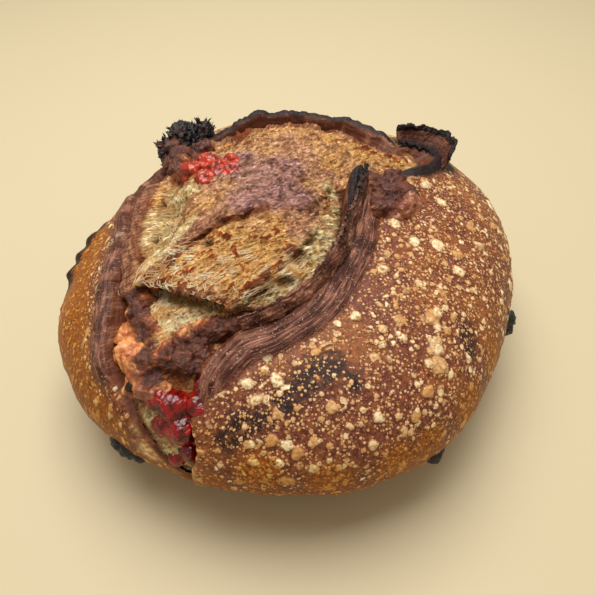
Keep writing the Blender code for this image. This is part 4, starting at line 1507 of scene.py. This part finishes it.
burnt_look = burnt_finish()
for name, rows in DRIPS.items():
    drip = fused_lump("brittle_" + name, rows, *DRIP_FUSING)
    roughen(drip, *DRIP_RELIEF)
    keep_value(drip, "brown", np.zeros(len(drip.data.vertices)))
    give(drip, burnt_look, "charred_cheese", name)


def make_spikes(name, stem, chosen, count, heights, seed):
    """Small cones over the chosen points of a piece, leaning every way."""
    draw = random.Random(seed)
    points, places = points_of(stem), np.flatnonzero(chosen)
    spikes = []
    for _ in range(count):
        foot = int(draw.choice(places))
        lean = Vector((draw.gauss(0, 0.35), draw.gauss(0, 0.35), draw.gauss(0.25, 0.3)))
        way = (stem.data.vertices[foot].normal + lean).normalized()
        height = draw.uniform(*heights)
        girth = height * draw.uniform(*SPIKE_GIRTHS)
        bpy.ops.mesh.primitive_cone_add(
            vertices=SPIKE_SIDES, radius1=girth, radius2=SPIKE_TIP, depth=height,
            location=Vector(points[foot]) + way * height * SPIKE_SINKING,
            rotation=way.to_track_quat("Z", "Y").to_euler())
        spikes.append(bpy.context.object)
    crown = join(spikes, name)
    modify(crown, "SUBSURF", subdivision_type="SIMPLE", levels=2, render_levels=2)
    keep_places(crown, ways_of(points_of(crown) - CENTRE))
    roughen(crown, SPIKE_RELIEF)
    level = points_of(crown)[:, 2]
    keep_value(crown, "brown", 0.8 * (level < np.median(level)))
    return crown


def upward(piece):
    """Which points of a piece don't face down."""
    return np.array([vertex.normal.z for vertex in piece.data.vertices]) > -0.1


charred = lumps["cheese_back_left"]
tops = (value_of(charred, "black") > 0.35) & upward(charred)
crown = make_spikes("char_crown", charred, tops, SPIKES, SPIKE_HEIGHTS, SPIKE_SEED)
give(crown, burnt_look, "charred_cheese", "cheese_back_left")

# %% [markdown]
# A strip of crust tore loose along the right edge of the opening. It stands over the groove as an
# ear, and its torn edge frayed and burnt. At the back right corner the burnt crust curls over like
# a dry leaf. Both are strips: a flat grid is bent along a line over the loaf, given its thickness
# by Solidify and rounded by Subdivision. Small cones along the torn edge make its burnt fringe.

# %% Loose strips of crust
STRIP_LENGTH_CELLS, STRIP_WIDTH_CELLS = 96, 14
STRIP_THICKNESS = 1.6 * MM
STRIP_RELIEF = ((4 * MM, 0.8 * MM, 3), (1.4 * MM, 0.45 * MM, 2))
FRINGE_SPIKES, FRINGE_SEED = 80, 5
FRINGE_HEIGHTS = (0.9 * MM, 2.2 * MM)
# Each knot: bearing, tilt, lift above the bare dome, half width, sideways tip in degrees, and curl.
STRIPS = {
    "torn_strip": (
        (-106, 61.6, 5.5, 3.4, 22, 0.8), (-100.3, 59.2, 6.2, 3.9, 26, 0.8), (-94, 56.2, 6.6, 3.9, 28, 0.8),
        (-87.4, 52.8, 7, 4.0, 30, 0.8), (-78.7, 48, 7.2, 4.4, 35, 0.8), (-67.6, 42.2, 7.6, 5.0, 40, 0.8),
        (-54.7, 35.4, 8.4, 5.6, 46, 0.8), (-32, 29, 9.8, 5.6, 52, 0.8), (-8, 27, 11.5, 4.6, 58, 0.8),
        (8, 27.8, 12.5, 2.4, 62, 0.5),
    ),
    "burnt_curl": (
        (24, 62.5, 7, 5.5, 60, 1.5), (31, 65.5, 10, 7.2, 70, 1.8), (37, 66.5, 11.5, 7.8, 80, 2.0),
        (41.5, 65, 11, 7.2, 90, 2.2), (44.5, 62.5, 10, 5.8, 100, 2.4), (46, 60.5, 8.5, 4.6, 110, 2.4),
    ),
}


def unit_rows(rows):
    return rows / np.linalg.norm(rows, axis=1)[:, None]


def ragged_side(place, across):
    """Waves along the two long edges of a strip, different on either side."""
    found = []
    for along, side in zip(place, np.sign(across) * 5):
        slow = noise.noise(Vector((along * 0.09, side, 3.7)))
        found.append(slow + 0.6 * noise.noise(Vector((along * 0.45, side, 9.1))))
    return np.array(found)


def make_strip(name, knots):
    """A strip of crust bent along its knots, ragged at its edges."""
    cells = {"x_subdivisions": STRIP_LENGTH_CELLS, "y_subdivisions": STRIP_WIDTH_CELLS}
    bpy.ops.mesh.primitive_grid_add(size=2, **cells)
    piece = bpy.context.object
    piece.name = name
    flat = points_of(piece)
    path = curve_through(on_map(knots))
    place = (flat[:, 0] * 0.5 + 0.5) * (len(path) - 1.001)
    line = spot(*from_map(path[:, :2]), path[:, 2] * MM)
    ahead = unit_rows(rows_at(np.gradient(line, axis=0), place))
    middle = rows_at(line, place)
    aside = unit_rows(np.cross(ahead, ways_of(middle - CENTRE)))
    up = np.cross(aside, ahead)
    half, tip, curl = rows_at(path[:, 3:6], place).T
    across = flat[:, 1]
    width = half * (1 + 0.4 * ragged_side(place, across) * np.abs(across)) * MM
    bend = curl * MM * (1 - across**2)
    cosine, sine = np.cos(np.radians(tip))[:, None], np.sin(np.radians(tip))[:, None]
    offset = (width * across)[:, None] * (aside * cosine - up * sine)
    offset += bend[:, None] * (aside * sine + up * cosine)
    set_points(piece, middle + offset)
    run = np.concatenate([[0], np.cumsum(np.linalg.norm(np.diff(line, axis=0), axis=1))])
    run = np.interp(place, np.arange(len(run)), run)
    keep_place(piece, "run", np.column_stack([run / MM, across * half, np.zeros(len(run))]))
    keep_value(piece, "across", across)
    keep_value(piece, "share", place / len(path))
    modify(piece, "SOLIDIFY", thickness=STRIP_THICKNESS, offset=0)
    modify(piece, "SUBSURF", levels=1, render_levels=1)
    keep_place(piece, "skin", points_of(piece) / MM)
    roughen(piece, *STRIP_RELIEF)
    return piece


for name, knots in STRIPS.items():
    strip = make_strip(name, knots)
    ones = np.ones(len(strip.data.vertices))
    across, share = value_of(strip, "across"), value_of(strip, "share")
    values = dict.fromkeys(("streaky", "blistered", "golden", "soot", "torn", "under"), 0 * ones)
    values["band"] = ones
    if name == "burnt_curl":
        values["burnt"] = smooth_step((np.abs(across + 0.25) - 0.1) / 0.4)
        values["rim"] = 0.4 * ones
        values["under"] = 0.75 * smooth_step((0.6 - np.abs(across)) / 0.3)
    else:
        values["burnt"] = 0 * ones
        values["rim"] = 0.34 * smooth_step((share - 0.5) / 0.4)
        values["rim"] += 0.32 * smooth_step((-across - 0.2) / 0.6)
        frayed = (across < -0.75) & (share > 0.4) & upward(strip)
        fringe = make_spikes("burnt_fringe", strip, frayed, FRINGE_SPIKES, FRINGE_HEIGHTS, FRINGE_SEED)
        give(fringe, burnt_look, "crust", "loaf")
    for kept, value in values.items():
        keep_value(strip, kept, value)
    give(strip, crust_look, "crust", "loaf")

# %% [markdown]
# In the hollow under the ledge, and on the slope below it, strands of gluten were pulled out thin as
# the crumb tore. They are curves with a round bevel that wander from one place to another close
# above the crumb, each a few tenths of a millimetre thick, turned to one mesh.

# %% Hanging strands
# From bearing and tilt, to bearing and tilt, spread in degrees, how many, and their lift in mm.
STRAND_FIELDS = (
    ((-139, 59), (-131, 64), 5, 60, 1.2),
    ((-127, 56.5), (-122, 61), 6, 60, 1.2),
    ((-117, 55.5), (-113, 59), 5, 45, 1.0),
    ((-128, 64), (-122, 69), 7, 110, 0.4),
    ((-138, 56), (-128, 52), 6, 120, 0.4),
    ((-118, 50), (-108, 45), 8, 130, 0.4),
    ((-100, 53), (-88, 46), 6, 60, 0.4),
    ((-164, 53), (-157, 51), 5, 40, 0.3),
    ((-90, 44), (-100, 50), 5, 50, 0.3),
)
STRAND_RADIUS = 0.11 * MM
STRAND_POINTS = 9
STRAND_SEED = 11
STRAND_TAPER = (0.5, 0.7)
# Strands lie this far above the crumb, and this far clear of the lips.
STRAND_CLEARANCE, LIP_CLEARANCE = 0.5 * MM, 2 * MM
STRAND_GRAINS = 180
STRAND_PALE, STRAND_GOLD = paint(248, 232, 190), paint(216, 158, 84)


def make_strands():
    draw = random.Random(STRAND_SEED)
    bpy.ops.curve.primitive_bezier_curve_add()
    curve = bpy.context.object
    curve.data.splines.clear()
    rows = []
    for start, end, spread, count, lift in STRAND_FIELDS:
        for _ in range(count):
            a = np.array([draw.gauss(start[0], spread), draw.gauss(start[1], spread * 0.45)])
            reach = np.subtract(end, start) * draw.uniform(0.4, 1.2)
            b = a + reach + [draw.gauss(0, 2.5), draw.gauss(0, 1.2)]
            share = np.linspace(0, 1, STRAND_POINTS)
            wander = np.array([[draw.gauss(0, 0.3), draw.gauss(0, 0.18)] for _ in share])
            line = a * (1 - share)[:, None] + b * share[:, None] + wander
            rise = lift * MM * (0.3 + draw.random()) * np.sin(np.pi * share)
            rows.append(np.column_stack([line, rise]))
    every = np.concatenate(rows)
    ways = direction(every[:, 0], every[:, 1])
    surface = loaf_surface(ways) + ways * (every[:, 2] + STRAND_CLEARANCE)[:, None]
    outward = edge_of(ways, CENTRE + ways * dome_radius(ways)[:, None])[1]
    thin, swell = STRAND_TAPER
    radii = thin + swell * np.sin(np.pi * np.linspace(0.05, 0.95, STRAND_POINTS))
    for number in range(len(rows)):
        these = slice(number * STRAND_POINTS, (number + 1) * STRAND_POINTS)
        if outward[these].max() > -UNDERCUT - LIP_CLEARANCE:
            continue
        line = surface[these]
        spline = curve.data.splines.new("POLY")
        spline.points.add(STRAND_POINTS - 1)
        spline.points.foreach_set("co", np.column_stack([line, np.ones(STRAND_POINTS)]).ravel())
        spline.points.foreach_set("radius", radii)
    curve.data.dimensions = "3D"
    curve.data.bevel_depth = STRAND_RADIUS
    curve.data.bevel_resolution = 0
    curve.data.use_fill_caps = True
    bpy.ops.object.select_all(action="DESELECT")
    curve.select_set(True)
    bpy.context.view_layer.objects.active = curve
    bpy.ops.object.convert(target="MESH")
    piece = bpy.context.object
    piece.name = "gluten_strands"
    bpy.ops.object.transform_apply(location=True, rotation=True, scale=True)
    return piece


def strand_finish():
    made, tree, shader = new_finish("gluten_strand", 0.35)
    place = add(tree, "ShaderNodeTexCoord").outputs["Object"]
    inputs = {"Vector": place, "Scale": STRAND_GRAINS, "Detail": 2.0}
    tone = add(tree, "ShaderNodeTexNoise", inputs).outputs[0]
    colour = mix(tree, ramp(tree, tone, 0.35, 0.65), STRAND_PALE, STRAND_GOLD)
    wire(tree, shader, colour)
    return made


give(make_strands(), strand_finish(), "crust", "loaf")
